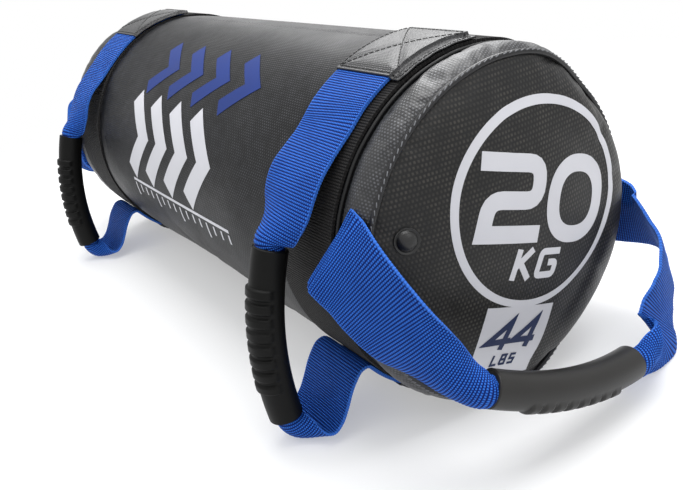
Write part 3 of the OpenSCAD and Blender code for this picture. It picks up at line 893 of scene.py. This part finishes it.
sewn_strap(front_lower, "front", (FRONT_X, -97, 36), (FRONT_X, -124, 8))

# %% [markdown]
# ## End handles
# The loop across each end is sewn in behind the band, at the front and at the back of the bag. It hangs
# under its own weight, 46 degrees below level. At the front it is folded where it leaves the bag, so its
# lower corner stands off the cover while its upper corner stays down. The strap starts at that fold. The
# layer behind the fold is a short, narrow tape of its own, which stays on the bag.

# %% End straps
HINGE = np.array([250.0, 0, AXIS_Z])
ALONG_U = np.array([0, -0.9613, 0.2756])          # along the line that the loop swings about
OUT_B = np.array([0.6947, -0.1983, -0.6915])      # outwards in the plane of the hanging loop
ACROSS_C = np.array([0.7194, 0.1915, 0.6678])     # across the tape
LOOP_AXES = np.stack([ALONG_U, OUT_B, ACROSS_C])
LEVEL, FOLD = (0, 0, 1), (-0.396, -0.66, 0.638)   # ways across the tape


def on_loop(u, b, c, across=LEVEL, curl=0.0, gather=1.0):
    """Station of an end strap, in the frame of the hanging loop."""
    return (*(HINGE + np.array([u, b, c]) @ LOOP_AXES), *(np.array(across) @ LOOP_AXES), curl, gather)


FRONT_HALF = [
    (110.4, -5.2, -10.0, FOLD, 0.05), (112.2, -1.2, -7.9, (-0.36, -0.56, 0.75), 0.05),
    (113.3, 3.9, -5.5, (-0.3, -0.36, 0.88)), (111.0, 17.8, -2.0, (-0.2, -0.13, 0.965)),
    (106.5, 31.8, -0.8, (-0.2, -0.02, 0.97)), (100.8, 43.5, -0.8, (-0.2, 0.05, 0.97)),
    (94.5, 55.0, -1.8, (-0.17, 0.08, 0.97), 0.5), (87.0, 66.4, -2.4, (-0.12, 0.1, 0.98), 1.5, 0.98),
    (79.5, 76.0, -2.2, (-0.08, 0.08, 0.99), 2.8, 0.92), (71.5, 83.8, -1.2, (0, 0, 1), 3.9, 0.86),
    (63.0, 89.4, 0, (0, 0, 1), 4.6, 0.83), (54.5, 89.7, 0, (0, 0, 1), TIGHT, NECK),
    (48.5, 91.3, 0.2, (0, 0, 1), TIGHT, NECK)]
TUCKED = [
    (109.2, 5.6, -0.2, FOLD, 0.1), (108.2, 2.4, -4.2, FOLD, 0.1), (107.8, -0.9, -7.9, FOLD, 0.1)]
BACK_HALF = [
    (-111.0, -13.5, -13.5, (0.42, -0.72, 0.55), 0.3), (-112.3, -4.5, -4.5, (0.47, -0.42, 0.77)),
    (-113.3, 4.9, 3.5, (0.6, -0.26, 0.74)), (-113.2, 14.3, 8.8, (0.74, -0.11, 0.66)),
    (-112.1, 24.4, 11.6, (0.81, 0, 0.59)), (-108.6, 37.0, 12.4, (0.8, 0, 0.6)),
    (-103.9, 49.8, 10.4, (0.87, 0.06, 0.48)), (-98.0, 60.2, 6.0, (0.91, -0.02, 0.42)),
    (-91.4, 70.3, 1.2, (0.92, -0.14, 0.36), 0.05), (-85.0, 82.0, -1.6, (0.9, -0.25, 0.35), 0.25),
    (-74.5, 90.3, -1.6, (0.65, -0.35, 0.65), 1.5, 0.97), (-61.5, 92.6, 0, (0.15, -0.1, 0.98), 3.4, 0.9),
    (-52.1, 95.6, 1.5, (0, 0, 1), 4.6, 0.86), (-44.3, 95.1, 1.4, (0, 0, 1), TIGHT, NECK),
    (-39, 96.0, 1.3, (0, 0, 1), TIGHT, NECK)]
end_front = tape("end_strap_front_right", [on_loop(*s) for s in FRONT_HALF], ripple=0.15)
tucked = tape("end_strap_tucked_right", [on_loop(*s) for s in TUCKED], width=20)
end_back = tape("end_strap_back_right", [on_loop(*s) for s in BACK_HALF[::-1]], floor=0.6, ripple=0.15)
for strap, u in ((end_front, 110), (end_back, -110)):
    sewn_strap(strap, "end", *[HINGE + np.array([u, b, 0]) @ LOOP_AXES for b in (-2, 42)])
both_ends(tucked, "end_strap_ends")

# %% [markdown]
# ## Carry handles
# Two handles on the back lie along the bag. Each end of the strap is sewn flat to the cover, turns up
# sharply, and curls into the grip after a short rise.

# %% Carry straps
CARRY_X = 86.5
CARRY_LINE = np.array([0, 103.4, 77.1])
CARRY_OUT = np.array([0, 0.731, -0.682])
CARRY_ACROSS = np.array([0, 0.682, 0.731])
CARRY_RADIAL = unit(CARRY_LINE - np.array([0, 0, AXIS_Z]))
CARRY_LIE = -np.cross(CARRY_RADIAL, X_AXIS)


def on_carry(x, out, curl=0.0, gather=1.0, lying=0.0):
    """Station of a carry strap. lying is 1 where the tape is flat on the bag and 0 where it hangs."""
    way = CARRY_RADIAL * lying + CARRY_OUT * (1 - lying)
    across = CARRY_LIE * lying + CARRY_ACROSS * (1 - lying)
    return (*(CARRY_LINE + way * out + np.array([CARRY_X + x, 0, 0])), *across, curl, gather)


HALF_CARRY = [
    (84.5, 0.2, 0.47, 1, 1), (78, 0.2, 0.47, 1, 1), (71, 0.2, 0.47, 1, 1), (66, 0.5, 0.45, 1, 1),
    (63.2, 2.2, 0.4, 1, 0.9), (62.2, 5.5, 0.45, 1, 0.6), (62.4, 10, 0.8, 1, 0.3),
    (62.3, 15.5, 1.5, 0.98, 0.1),
    (61.8, 21.5, 2.7, 0.94), (59.4, 28.2, 4.3, 0.86), (53, 33, TIGHT, NECK), (44, 35, TIGHT, NECK)]
carry_outer = tape("carry_strap_outer_right", [on_carry(*s) for s in HALF_CARRY])
flip = Matrix.Translation((2 * CARRY_X * MM, 0, 0)) @ MIRROR
carry_inner = copy_of(carry_outer, "carry_strap_inner_right", flip)
for strap, where in ((carry_outer, 62), (carry_inner, -62)):
    root = CARRY_LINE + np.array([CARRY_X + where, 0, 0])
    sewn_strap(strap, "carry", root + 2 * CARRY_OUT, root + 20 * CARRY_OUT)

# %% [markdown]
# ## Grips
# Each grip is a moulded rubber tube, slightly bent, with eight ribs on its outer side only. A circle is
# placed at one end of the bend and spun about the bend's centre. The rings of the mesh under each rib are
# then lifted where they face outwards, so the ribs fade out round the sides. The wall is given its
# thickness inwards, and the sharp outer edges at both ends are bevelled.

# %% One grip
BEND_R = (GRIP_L ** 2 / 4 + GRIP_ARCH ** 2) / (2 * GRIP_ARCH)
HALF_BEND = math.asin(GRIP_L / 2 / BEND_R)
RIB_COUNT, RIB_PITCH, RIB_W, RIB_H = 8, 8.2, 5.4, 1.6
BEND_Z = GRIP_ARCH - BEND_R                         # height of the bend's centre
SPIN_STEPS = 212                                    # rings of the mesh along a grip


def moulded_grip(rib_turn, rubber):
    """One grip along x, bent towards z. Its ribs face z turned by rib_turn degrees towards y."""
    bpy.ops.mesh.primitive_circle_add(vertices=60, radius=GRIP_R * MM, location=(0, 0, GRIP_ARCH * MM),
                                      rotation=(0, math.pi / 2, 0))
    grip = named("grip")
    centre = Vector((0, 0, BEND_Z * MM))
    to_end = Matrix.Translation(centre) @ Matrix.Rotation(HALF_BEND, 4, "Y") @ Matrix.Translation(-centre)
    grip.data.transform(to_end)
    in_edit(grip, lambda: bpy.ops.mesh.spin(steps=SPIN_STEPS, angle=2 * HALF_BEND, center=centre,
                                            axis=(0, 1, 0)), outwards)
    co = points_of(grip)
    turn = np.arctan2(co[:, 0], co[:, 2] - BEND_Z)
    middle = np.stack([BEND_R * np.sin(turn), 0 * turn, BEND_R * np.cos(turn) + BEND_Z], -1)
    spoke = (co - middle) / GRIP_R
    lean = math.radians(rib_turn)
    facing = (spoke[:, 0] * np.sin(turn) + spoke[:, 2] * np.cos(turn)) * math.cos(lean)
    facing += spoke[:, 1] * math.sin(lean)
    place, last = BEND_R * turn, (RIB_COUNT - 1) / 2
    nearest = np.clip(np.round(place / RIB_PITCH + 0.5) - 0.5, -last, last) * RIB_PITCH
    flank = np.clip((RIB_W / 2 + 0.45 - np.abs(place - nearest)) / 1.1, 0, 1)
    put(grip, co + spoke * (RIB_H * flank ** 0.7 * soft((facing - 0.05) / 0.35))[:, None])
    thicken(grip, GRIP_R - BORE_R)
    co = points_of(grip)
    turn = np.arctan2(co[:, 0], co[:, 2] - BEND_Z)
    spread = np.hypot(co[:, 1], np.hypot(co[:, 0], co[:, 2] - BEND_Z) - BEND_R)
    rim = (np.abs(turn) > HALF_BEND - 0.0005) & (spread > GRIP_R - 0.2)
    in_edit_on(grip, rim, lambda: bpy.ops.mesh.bevel(offset=1.6 * MM, segments=4))
    print("grip", len(grip.data.polygons), "faces, ribs turned", rib_turn)
    return finish_piece(grip, rubber, 40)


# %% [markdown]
# A grip is copied to each of the six places. Each place is given by the line from one end of the grip to the
# other and by the direction in which the bend stands out. In the end handles the rubber has rolled round on
# its strap, so the ribs there face down.

# %% Six grips
def stand(middle, chord, out):
    """The matrix that puts a grip, drawn along x with its bend towards z, in its place."""
    chord, out = Vector(chord).normalized(), Vector(out).normalized()
    axes = Matrix((chord, out.cross(chord), out)).transposed().to_4x4()
    return Matrix.Translation(Vector(middle) * MM) @ axes


LEAN = math.radians(7.6)
TIP = 5.8 / GRIP_L       # the end grip hangs a little lower at its far end
front_place = stand((FRONT_X, -130.5, AXIS_Z - 30.4), (0, -math.sin(LEAN), -math.cos(LEAN)),
                    (0, -math.cos(LEAN), math.sin(LEAN)))
end_place = stand(HINGE + 5 * ALONG_U + 90.5 * OUT_B + 0.7 * ACROSS_C, ALONG_U - TIP * OUT_B,
                  OUT_B + TIP * ALONG_U)
carry_place = stand(CARRY_LINE + 33 * CARRY_OUT + np.array([CARRY_X, 0, 0]), X_AXIS, CARRY_OUT)
# the end grips take the rubber with painted top light
plain_grip, rolled_grip = moulded_grip(0, GRIP_RUBBER), moulded_grip(55, PAINTED_TOPLIGHT_RUBBER)
for kind, grip, matrix in (("front", plain_grip, front_place), ("end", rolled_grip, end_place),
                           ("carry", plain_grip, carry_place)):
    for side, sign in SIDES:
        piece = copy_of(grip, f"{kind}_grip_{side}_moulded", matrix if sign > 0 else MIRROR @ matrix)
        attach(piece, f"{kind}_handle_{side}")
        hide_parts(f"{kind}_grip_{side}")
for grip in (plain_grip, rolled_grip):
    bpy.data.objects.remove(grip)
print("six grips placed")

# %% [markdown]
# ## Patches
# A rectangle of smooth-grained vinyl covers each place where a front strap is sewn to its band. It is a
# thin sheet that steps up over the strap, is drawn down along the stitch lines, and puffs a little between
# them. Its height above the band is one function of the place, which the stitches use as well.

# %% Sewn patches
def away_from(x, s, lines):
    """Distance of points from the nearest of some straight lines, each given by its two ends."""
    best = np.full(np.shape(x), 1e9)
    for x0, s0, x1, s1 in lines:
        t = np.clip(((x - x0) * (x1 - x0) + (s - s0) * (s1 - s0)) / ((x1 - x0) ** 2 + (s1 - s0) ** 2), 0, 1)
        best = np.minimum(best, np.hypot(x - x0 - t * (x1 - x0), s - s0 - t * (s1 - s0)))
    return best


def sewing_lines(a0, a1, inset, cross):
    """Stitch lines of a patch between two angles: a box, and a cross from corner to corner."""
    x0, x1 = BAND_IN + inset, BAND_OUT - inset
    s0, s1 = math.radians(a0) * BAND_R + inset, math.radians(a1) * BAND_R - inset
    box = [(x0, s0, x1, s0), (x1, s0, x1, s1), (x1, s1, x0, s1), (x0, s1, x0, s0)]
    return box + ([(x0, s0, x1, s1), (x1, s0, x0, s1)] if cross else [])


STEP, PUFF = 2.3, 0.55       # how far a patch rises over the strap, and between its stitch lines


def patch_r(x, s, lines):
    """How far the top of a patch is from the axis of the bag."""
    puff = 1 - np.exp(-(away_from(x, s, lines) / 3.2) ** 2)
    return STRAP_R + STEP * soft((WEB_W / 2 + 1.7 - np.abs(x - FRONT_X)) / 1.6) + PUFF * puff


def face_away(piece):
    """Turns a thin sheet so that its front faces away from the middle of the bag."""
    middle = Vector((0, 0, AXIS_Z * MM))
    if sum((p.center - middle).dot(p.normal) for p in piece.data.polygons) < 0:
        piece.data.flip_normals()


def patch(name, a0, a1, lines):
    s = np.linspace(math.radians(a0) * BAND_R, math.radians(a1) * BAND_R, max(12, round((a1 - a0) * 2.4)))
    x, s = np.meshgrid(np.linspace(BAND_IN + 0.2, BAND_OUT - 0.2, 72), s)
    loose = ((x - FRONT_X - 3) / 30) ** 2 * 0.4 * np.sin(s * 0.45 + x * 0.2)
    piece = grid_piece(name, on_bag(x + loose, np.degrees(s / BAND_R), patch_r(x, s, lines)),
                       np.stack([x, s], -1))
    face_away(piece)
    thicken(piece, 1.0)
    rounded_edges(piece, 0.35, 60)
    return finish_piece(piece, PATCH_VINYL)


print("a patch rises", STEP, "mm over its strap")

# %% [markdown]
# Thread is drawn as what it is: one short stitch, copied along each seam, dipping at both ends where it
# goes through the vinyl. It has few faces, because there are hundreds of it.

# %% One stitch and a row of them
STITCH_R, STITCH_L = 0.36, 2.7
bpy.ops.mesh.primitive_cylinder_add(vertices=6, radius=STITCH_R * MM, depth=STITCH_L * MM)
stitch = bpy.context.object
in_edit(stitch, lambda: bpy.ops.mesh.bevel(offset=0.12 * MM, segments=1))
STITCH_CO = points_of(stitch)
STITCH_FACES = [list(p.vertices) for p in stitch.data.polygons]
bpy.data.objects.remove(stitch)


def sew(name, rows, material, pitch=3.5, skew=0.0):
    """One mesh of stitches along rows, each a line of points with the outward direction at each point."""
    verts, faces = [], []
    for points, normals in rows:
        run = length_along(points)

        def at(marks, columns):
            return np.stack([np.interp(marks, run, c) for c in columns.T], -1)

        marks = np.arange(pitch / 2, run[-1], pitch)
        up = unit(at(marks, normals))
        way = at(marks + 0.5, points) - at(marks - 0.5, points)
        way = unit(way - up * np.sum(way * up, 1, keepdims=True))
        way = unit(way + skew * np.cross(up, way))
        for p, u, w, s in zip(at(marks, points), up, way, np.cross(up, way)):
            faces += [[i + len(verts) for i in f] for f in STITCH_FACES]
            verts += list(p + STITCH_CO @ np.stack([s, u, w]))
    piece = mesh_piece(name, verts, faces)
    in_edit(piece, faces_out)
    return finish_piece(piece, material, 60)


def row_on_bag(x, angle, r):
    """A row of points round the bag, and the outward direction at each."""
    points = on_bag(x, angle, r)
    return points, unit(points * [0, 1, 1] - [0, 0, AXIS_Z])


for kind, a0, a1, inset, cross in (("upper", -5.5, 25, 2.4, True), ("lower", 140, 153.5, 2.6, False)):
    lines, rows, t = sewing_lines(a0, a1, inset, cross), [], np.linspace(0, 1, 40)
    for x0, s0, x1, s1 in lines:
        x, s = x0 + (x1 - x0) * t, s0 + (s1 - s0) * t
        rows.append(row_on_bag(x, np.degrees(s / BAND_R), patch_r(x, s, lines) + 0.12))
    sheet = patch(f"{kind}_patch_right_cut", a0, a1, lines)
    thread = sew(f"{kind}_patch_right_stitches", rows, BLACK_THREAD)
    both_ends(sheet, f"{kind}_patch")
    both_ends(thread)
print("patches and their stitches made")

# %% [markdown]
# A lighter grey thread runs along the rolled seam round each end panel. Its grey is partly the thread's own
# colour and partly painted highlight, so it shows as a broken line of glints. The feet of the carry handles
# are sewn down with a small box of black stitches.

# %% Seam stitches and carry-foot stitches
turn = np.linspace(0, 360, 721)
seam_row = (laid(END_X + 0.95, turn, SEAM_R + 2.3, 1.2, 1.0), on_bag(0.77, turn, 0.63) - [0, 0, AXIS_Z])
seam_thread = sew("edge_seam_right_stitches", [seam_row], GREY_THREAD, pitch=4.1, skew=0.25)

FOOT_OUT, FOOT_ANGLE = 73.5, -103          # a foot's middle: from the handle's middle, and round the bag
HALF_X, HALF_ANGLE = 8.0, 10.5             # half of its box of stitches, in millimetres and degrees
foot_rows, t = [], np.linspace(0, 1, 30)
for centre in (CARRY_X + FOOT_OUT, CARRY_X - FOOT_OUT):
    corners = [(centre + sx * HALF_X, FOOT_ANGLE + sa * HALF_ANGLE)
               for sx, sa in ((-1, -1), (1, -1), (1, 1), (-1, 1))]
    for i, j in ((0, 1), (1, 2), (2, 3), (3, 0), (0, 2), (1, 3)):
        (x0, a0), (x1, a1) = corners[i], corners[j]
        foot_rows.append(row_on_bag(x0 + (x1 - x0) * t, a0 + (a1 - a0) * t, BAG_R + 2.6))
foot_thread = sew("carry_feet_right_stitches", foot_rows, BLACK_THREAD, pitch=3.3)
both_ends(seam_thread)
both_ends(foot_thread)

# %% [markdown]
# ## Vents
# A small domed cap in each end panel lets air out when the bag is dropped. It is moulded plastic with a
# flat flange and a shallow groove round its dome. A disc is extruded and inset ring by ring, its edge is
# bevelled, and it is set square on the panel, in the hollow pressed for it. The steel washer behind the
# panel keeps its CAD shape and only gets its finish.

# %% Vent caps
CAP_R, FLANGE = 7.3, 1.0
RINGS = [(0.35, 0.25), (1.1, -0.55), (0.45, 0.9), (0.5, 0.55), (0.7, 0.5), (0.9, 0.4), (1.0, 0.25),
         (0.9, 0.1)]                            # inset and rise of each


def raise_rings():
    """Raises a disc to a flange, then insets and lifts it ring by ring."""
    bpy.ops.mesh.extrude_region_move(TRANSFORM_OT_translate={"value": (0, 0, FLANGE * MM)})
    for inset, rise in RINGS:
        bpy.ops.mesh.inset(thickness=inset * MM)
        bpy.ops.transform.translate(value=(0, 0, rise * MM))


bpy.ops.mesh.primitive_circle_add(vertices=48, radius=CAP_R * MM, fill_type="NGON")
cap = named("vent_cap_right_moulded")
in_edit(cap, raise_rings)
in_edit(cap, outwards)
rounded_edges(cap, 0.3, 35)
finish_piece(cap, VENT_PLASTIC)
_, place, square, _ = panels["right"].closest_point_on_mesh(VENT * MM)
turned = square.to_track_quat("Z", "Y").to_matrix().to_4x4()
cap.data.transform(Matrix.Translation(place + square * 0.1 * MM) @ turned)
both_ends(cap, "vent_cap")
for side, _ in SIDES:
    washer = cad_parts["vent_washer_" + side]
    washer.data.materials.clear()
    washer.data.materials.append(WASHER_STEEL)
print("vent at", [round(c / MM, 1) for c in place])

# %% [markdown]
# ## Screen print
# The weight is printed on both ends in white ink: a ring, plain numerals and the unit, and a tab with the
# same weight in pounds in navy. Each sign is drawn as a line with a width, like a brush stroke, in the flat
# plane of the print. The strokes are cut into small quads, laid on the stuffed fabric by a shrinkwrap, and
# given the thickness of a coat of ink.

# %% Strokes
def stroke(points, width, closed=False, cells=6, step=2.5):
    """Corners and quads of a line with a width, mitred at its bends and cut into small quads."""
    p = np.array(points, float)
    if closed:
        p = np.concatenate([p, p[:1]])
    w = np.full(len(p), float(width)) if np.ndim(width) == 0 else np.append(width, width[0])
    d = unit(np.diff(p, axis=0))
    before = np.concatenate([d[-1:] if closed else d[:1], d])
    after = np.concatenate([d, d[:1] if closed else d[-1:]])
    mid = unit(before + after)
    normal = np.stack([-mid[:, 1], mid[:, 0]], -1)
    stretch = 1 / np.maximum(np.sum(mid * after, 1), 0.35)
    offset = normal * (w / 2 * stretch)[:, None]
    rows = []
    for i in range(len(p) - 1):
        count = max(1, int(np.ceil(np.linalg.norm(p[i + 1] - p[i]) / step)))
        for t in np.arange(count) / count:
            rows.append((p[i] * (1 - t) + p[i + 1] * t, offset[i] * (1 - t) + offset[i + 1] * t))
    rows.append((p[-1], offset[-1]))
    verts = np.array([c + o * a for c, o in rows for a in np.linspace(-1, 1, cells + 1)])
    n = cells + 1
    quads = [[i * n + j, i * n + j + 1, (i + 1) * n + j + 1, (i + 1) * n + j]
             for i in range(len(rows) - 1) for j in range(cells)]
    return verts, quads


def rounded(points, radius, steps=6):
    """A bent line with its inner corners rounded."""
    p = np.array(points, float)
    line = [p[0]]
    for a, b, c in zip(p, p[1:], p[2:]):
        ra, rc = min(radius, np.linalg.norm(a - b) / 2), min(radius, np.linalg.norm(c - b) / 2)
        start, end = b + unit(a - b) * ra, b + unit(c - b) * rc
        line += [(1 - t) ** 2 * start + 2 * t * (1 - t) * b + t * t * end for t in np.linspace(0, 1, steps)]
    return line + [p[-1]]


def print_on(name, strokes, place, target, material, coat=0.25):
    """Lays strokes on a piece: place turns the print's plane into points in space, in millimetres."""
    verts, faces = [], []
    for corners, quads in strokes:
        faces += [[i + len(verts) for i in quad] for quad in quads]
        verts += list(corners)
    piece = mesh_piece(name, place(np.array(verts)), faces)
    apply_modifier(piece, "SHRINKWRAP", target=target, wrap_method="NEAREST_SURFACEPOINT",
                   wrap_mode="ABOVE_SURFACE", offset=coat * MM)
    face_away(piece)
    thicken(piece, 0.12)
    on_the_bag(finish_piece(piece, material))
    print(name, len(piece.data.polygons), "faces")


# %% [markdown]
# The numerals and letters are single strokes with square corners rounded a little, as a stencil has them.
# They are drawn upright in the print's own plane, in millimetres from the middle of the ring.

# %% Weight marks
def slanted(points):
    """Leans letters over to the right, about the middle of the line that they stand on."""
    low = min(b for _, b in points)
    return [(a + 0.16 * (b - low) - 1, b) for a, b in points]


def letters(lines, width, cells):
    return [stroke(slanted(line), width, cells=cells) for line in lines]


def squarish(part, power=0.86):
    """Swells a sine or cosine, so that a round line fills its corners a little."""
    return np.sign(part) * np.abs(part) ** power


PRINT_CENTRE, PRINT_TILT = (10.5, 18.7), math.radians(-19.2)
around = np.radians(np.arange(0, 360, 3))
RING = stroke(np.stack([61.3 * np.cos(around) - 1.2, 57.7 * np.sin(around) - 1.2], -1),
              4.8 + 0.7 * np.cos(around - 2.2), True, 3)
ZERO = stroke(np.stack([26 + 20.2 * squarish(np.cos(around)), 2.0 + 20.6 * squarish(np.sin(around))], -1),
              10, True)
TWO = stroke(rounded([(-49, 21.8), (-7.2, 21.8), (-7.2, 1.4), (-41.5, 1.4), (-43.6, -17.4)], 9)
             + [(-2.6, -17.4)], 10)
KILO = letters([
    [(-16, -44), (-16, -26)], [(-14.4, -36.2), (-4.6, -26.2)], [(-12.4, -34.8), (-3.8, -43.8)],
    rounded([(17.2, -28), (2.4, -28), (2.4, -42), (16, -42), (16, -34.6), (9.6, -34.6)], 2.6)], 4, 3)
TAB = stroke([(-2.8, -60.5), (-3.6, -107.5)], 53, cells=22)
FOUR = [(-9.4, -88.6), (-9.4, -69.6), (-22.4, -83), (-4.6, -83)]
POUNDS = letters([FOUR, [(a + 20, b) for a, b in FOUR]], 4, 2) + letters([
    [(-12.6, -92.4), (-12.6, -99), (-8, -99)],
    [(-5.6, -99), (-5.6, -93), (-2.2, -93), (-2.2, -96), (-5.6, -96)], [(-2, -96), (-1.6, -99), (-5.6, -99)],
    [(5, -93), (1.4, -93), (1.4, -96), (4.8, -96), (4.8, -99), (1, -99)]], 1.5, 1)


def on_end(sign):
    """The place of the print's plane on one end. Read from outside, it is the same on both ends."""
    def place(v):
        right = v[:, 0] * math.cos(PRINT_TILT) - v[:, 1] * math.sin(PRINT_TILT)
        up = v[:, 0] * math.sin(PRINT_TILT) + v[:, 1] * math.cos(PRINT_TILT)
        y, z = right + PRINT_CENTRE[0], up + PRINT_CENTRE[1]
        return np.stack([sign * (END_X + 3 + bulge(np.hypot(y, z))), sign * y, z + AXIS_Z], -1)
    return place


for side, sign in SIDES:
    for what, strokes, colour, coat in (
            ("ring", [RING], WHITE_INK, 0.25), ("numerals", [TWO, ZERO, *KILO], WHITE_INK, 0.25),
            ("tab", [TAB], WHITE_INK, 0.2), ("pounds", POUNDS, NAVY_INK, 0.45)):
        print_on(f"weight_{what}_{side}_print", strokes, on_end(sign), panels[side], colour, coat)

# %% [markdown]
# The barrel carries a plain decoration in the same inks: nested arrowheads in white and blue over a ruled
# line with short ticks. It is drawn on the unrolled cover, x along the bag and s down its front, and wraps
# round with it.

# %% Barrel decoration
def on_barrel(v):
    return on_bag(v[:, 0], np.degrees(v[:, 1] / BAG_R), BAG_R + 3)


def arrowheads(first, pitch, top, bottom, width):
    """Four arrowheads in a row, each 30 mm deep."""
    return [stroke([(x, top), (x + 30, (top + bottom) / 2), (x, bottom)], width, cells=8)
            for x in first + pitch * np.arange(4)]


RULE = [stroke([(-90, 168), (98, 168)], 2.4, cells=2)]
RULE += [stroke([(x, 171), (x, 178 if i % 4 else 183)], 2.2, cells=2)
         for i, x in enumerate(-88 + 12.3 * np.arange(16))]
WHITE_HEADS, BLUE_HEADS = arrowheads(-86, 40, 97, 160, 17), arrowheads(-76, 46, 46, 88, 13)
print_on("barrel_arrowheads_white_print", WHITE_HEADS + RULE, on_barrel, barrel, WHITE_INK)
print_on("barrel_arrowheads_blue_print", BLUE_HEADS, on_barrel, barrel, BLUE_INK)

# %% [markdown]
# ## The filling
# Inside the cover there is a foam sleeve that gives the barrel its even shape, a foam pad behind each end,
# a coated liner bag, and in it four canvas pouches of sand, which together make the weight. They are not
# seen from outside, but each is its own soft piece: a drum with rounded, slightly uneven sides that lies
# flat on what is below it.

# %% Filling
def drum(name, node, material, r, corner, lumps, wall=0.0):
    """A stuffed drum that fills the box of a CAD node."""
    low, high = [np.array(c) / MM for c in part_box(node)]
    bpy.ops.mesh.primitive_cylinder_add(vertices=72, radius=r * MM, depth=(high[0] - low[0]) * MM,
                                        location=((low[0] + high[0]) / 2 * MM, 0, AXIS_Z * MM),
                                        rotation=(0, math.pi / 2, 0))
    piece = named(name)
    in_edit(piece, lambda: bpy.ops.mesh.bevel(offset=corner * MM, segments=5, profile=0.6),
            lambda: bpy.ops.mesh.poke())
    co = points_of(piece)
    for i, point in enumerate(co):
        swell = noise.noise(Vector(point) * 0.02) * lumps
        co[i, 1:] += swell * unit(point[1:] - np.array([0, AXIS_Z]) + 1e-6)
    co[:, 2] = np.maximum(co[:, 2], low[2])
    dome = 0.75 * bulge(np.minimum(np.hypot(co[:, 1], co[:, 2] - AXIS_Z), SEAM_R))
    co[:, 0] = np.clip(co[:, 0], -END_X + 5 - dome, END_X - 5 + dome)
    put(piece, slump(co))
    in_edit(piece, outwards)
    if wall:
        thicken(piece, wall)
    on_the_bag(finish_piece(piece, material), node)


for number in range(1, 5):
    drum(f"sand_pouch_{number}_stuffed", f"sand_pouch_{number}", POUCH, 87.2, 11, 1.2)
drum("inner_bag_sewn", "inner_bag", LINER, 89.0, 9, 0.3, wall=0.8)
for side, _ in SIDES:
    drum(f"end_pad_{side}_cut", f"end_pad_{side}", FOAM, 95.5, 3, 0.2)
FOAM_T = 13                                # the wall of the sleeve
sleeve_low, sleeve_high = [np.array(c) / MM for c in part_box("foam_sleeve")]
x, angle = np.meshgrid(np.linspace(sleeve_low[0], sleeve_high[0], 50), full_turn(120))
sleeve = grid_piece("foam_sleeve_cut", laid(x, angle, BAG_R - 2.6, sleeve_low[2] + 0.3),
                    np.stack([x, np.radians(angle) * BAG_R], -1), round_rows=True)
in_edit(sleeve, faces_out)
thicken(sleeve, FOAM_T)
on_the_bag(finish_piece(sleeve, FOAM), "foam_sleeve")
print("filling: 4 pouches, liner, 2 pads, sleeve")
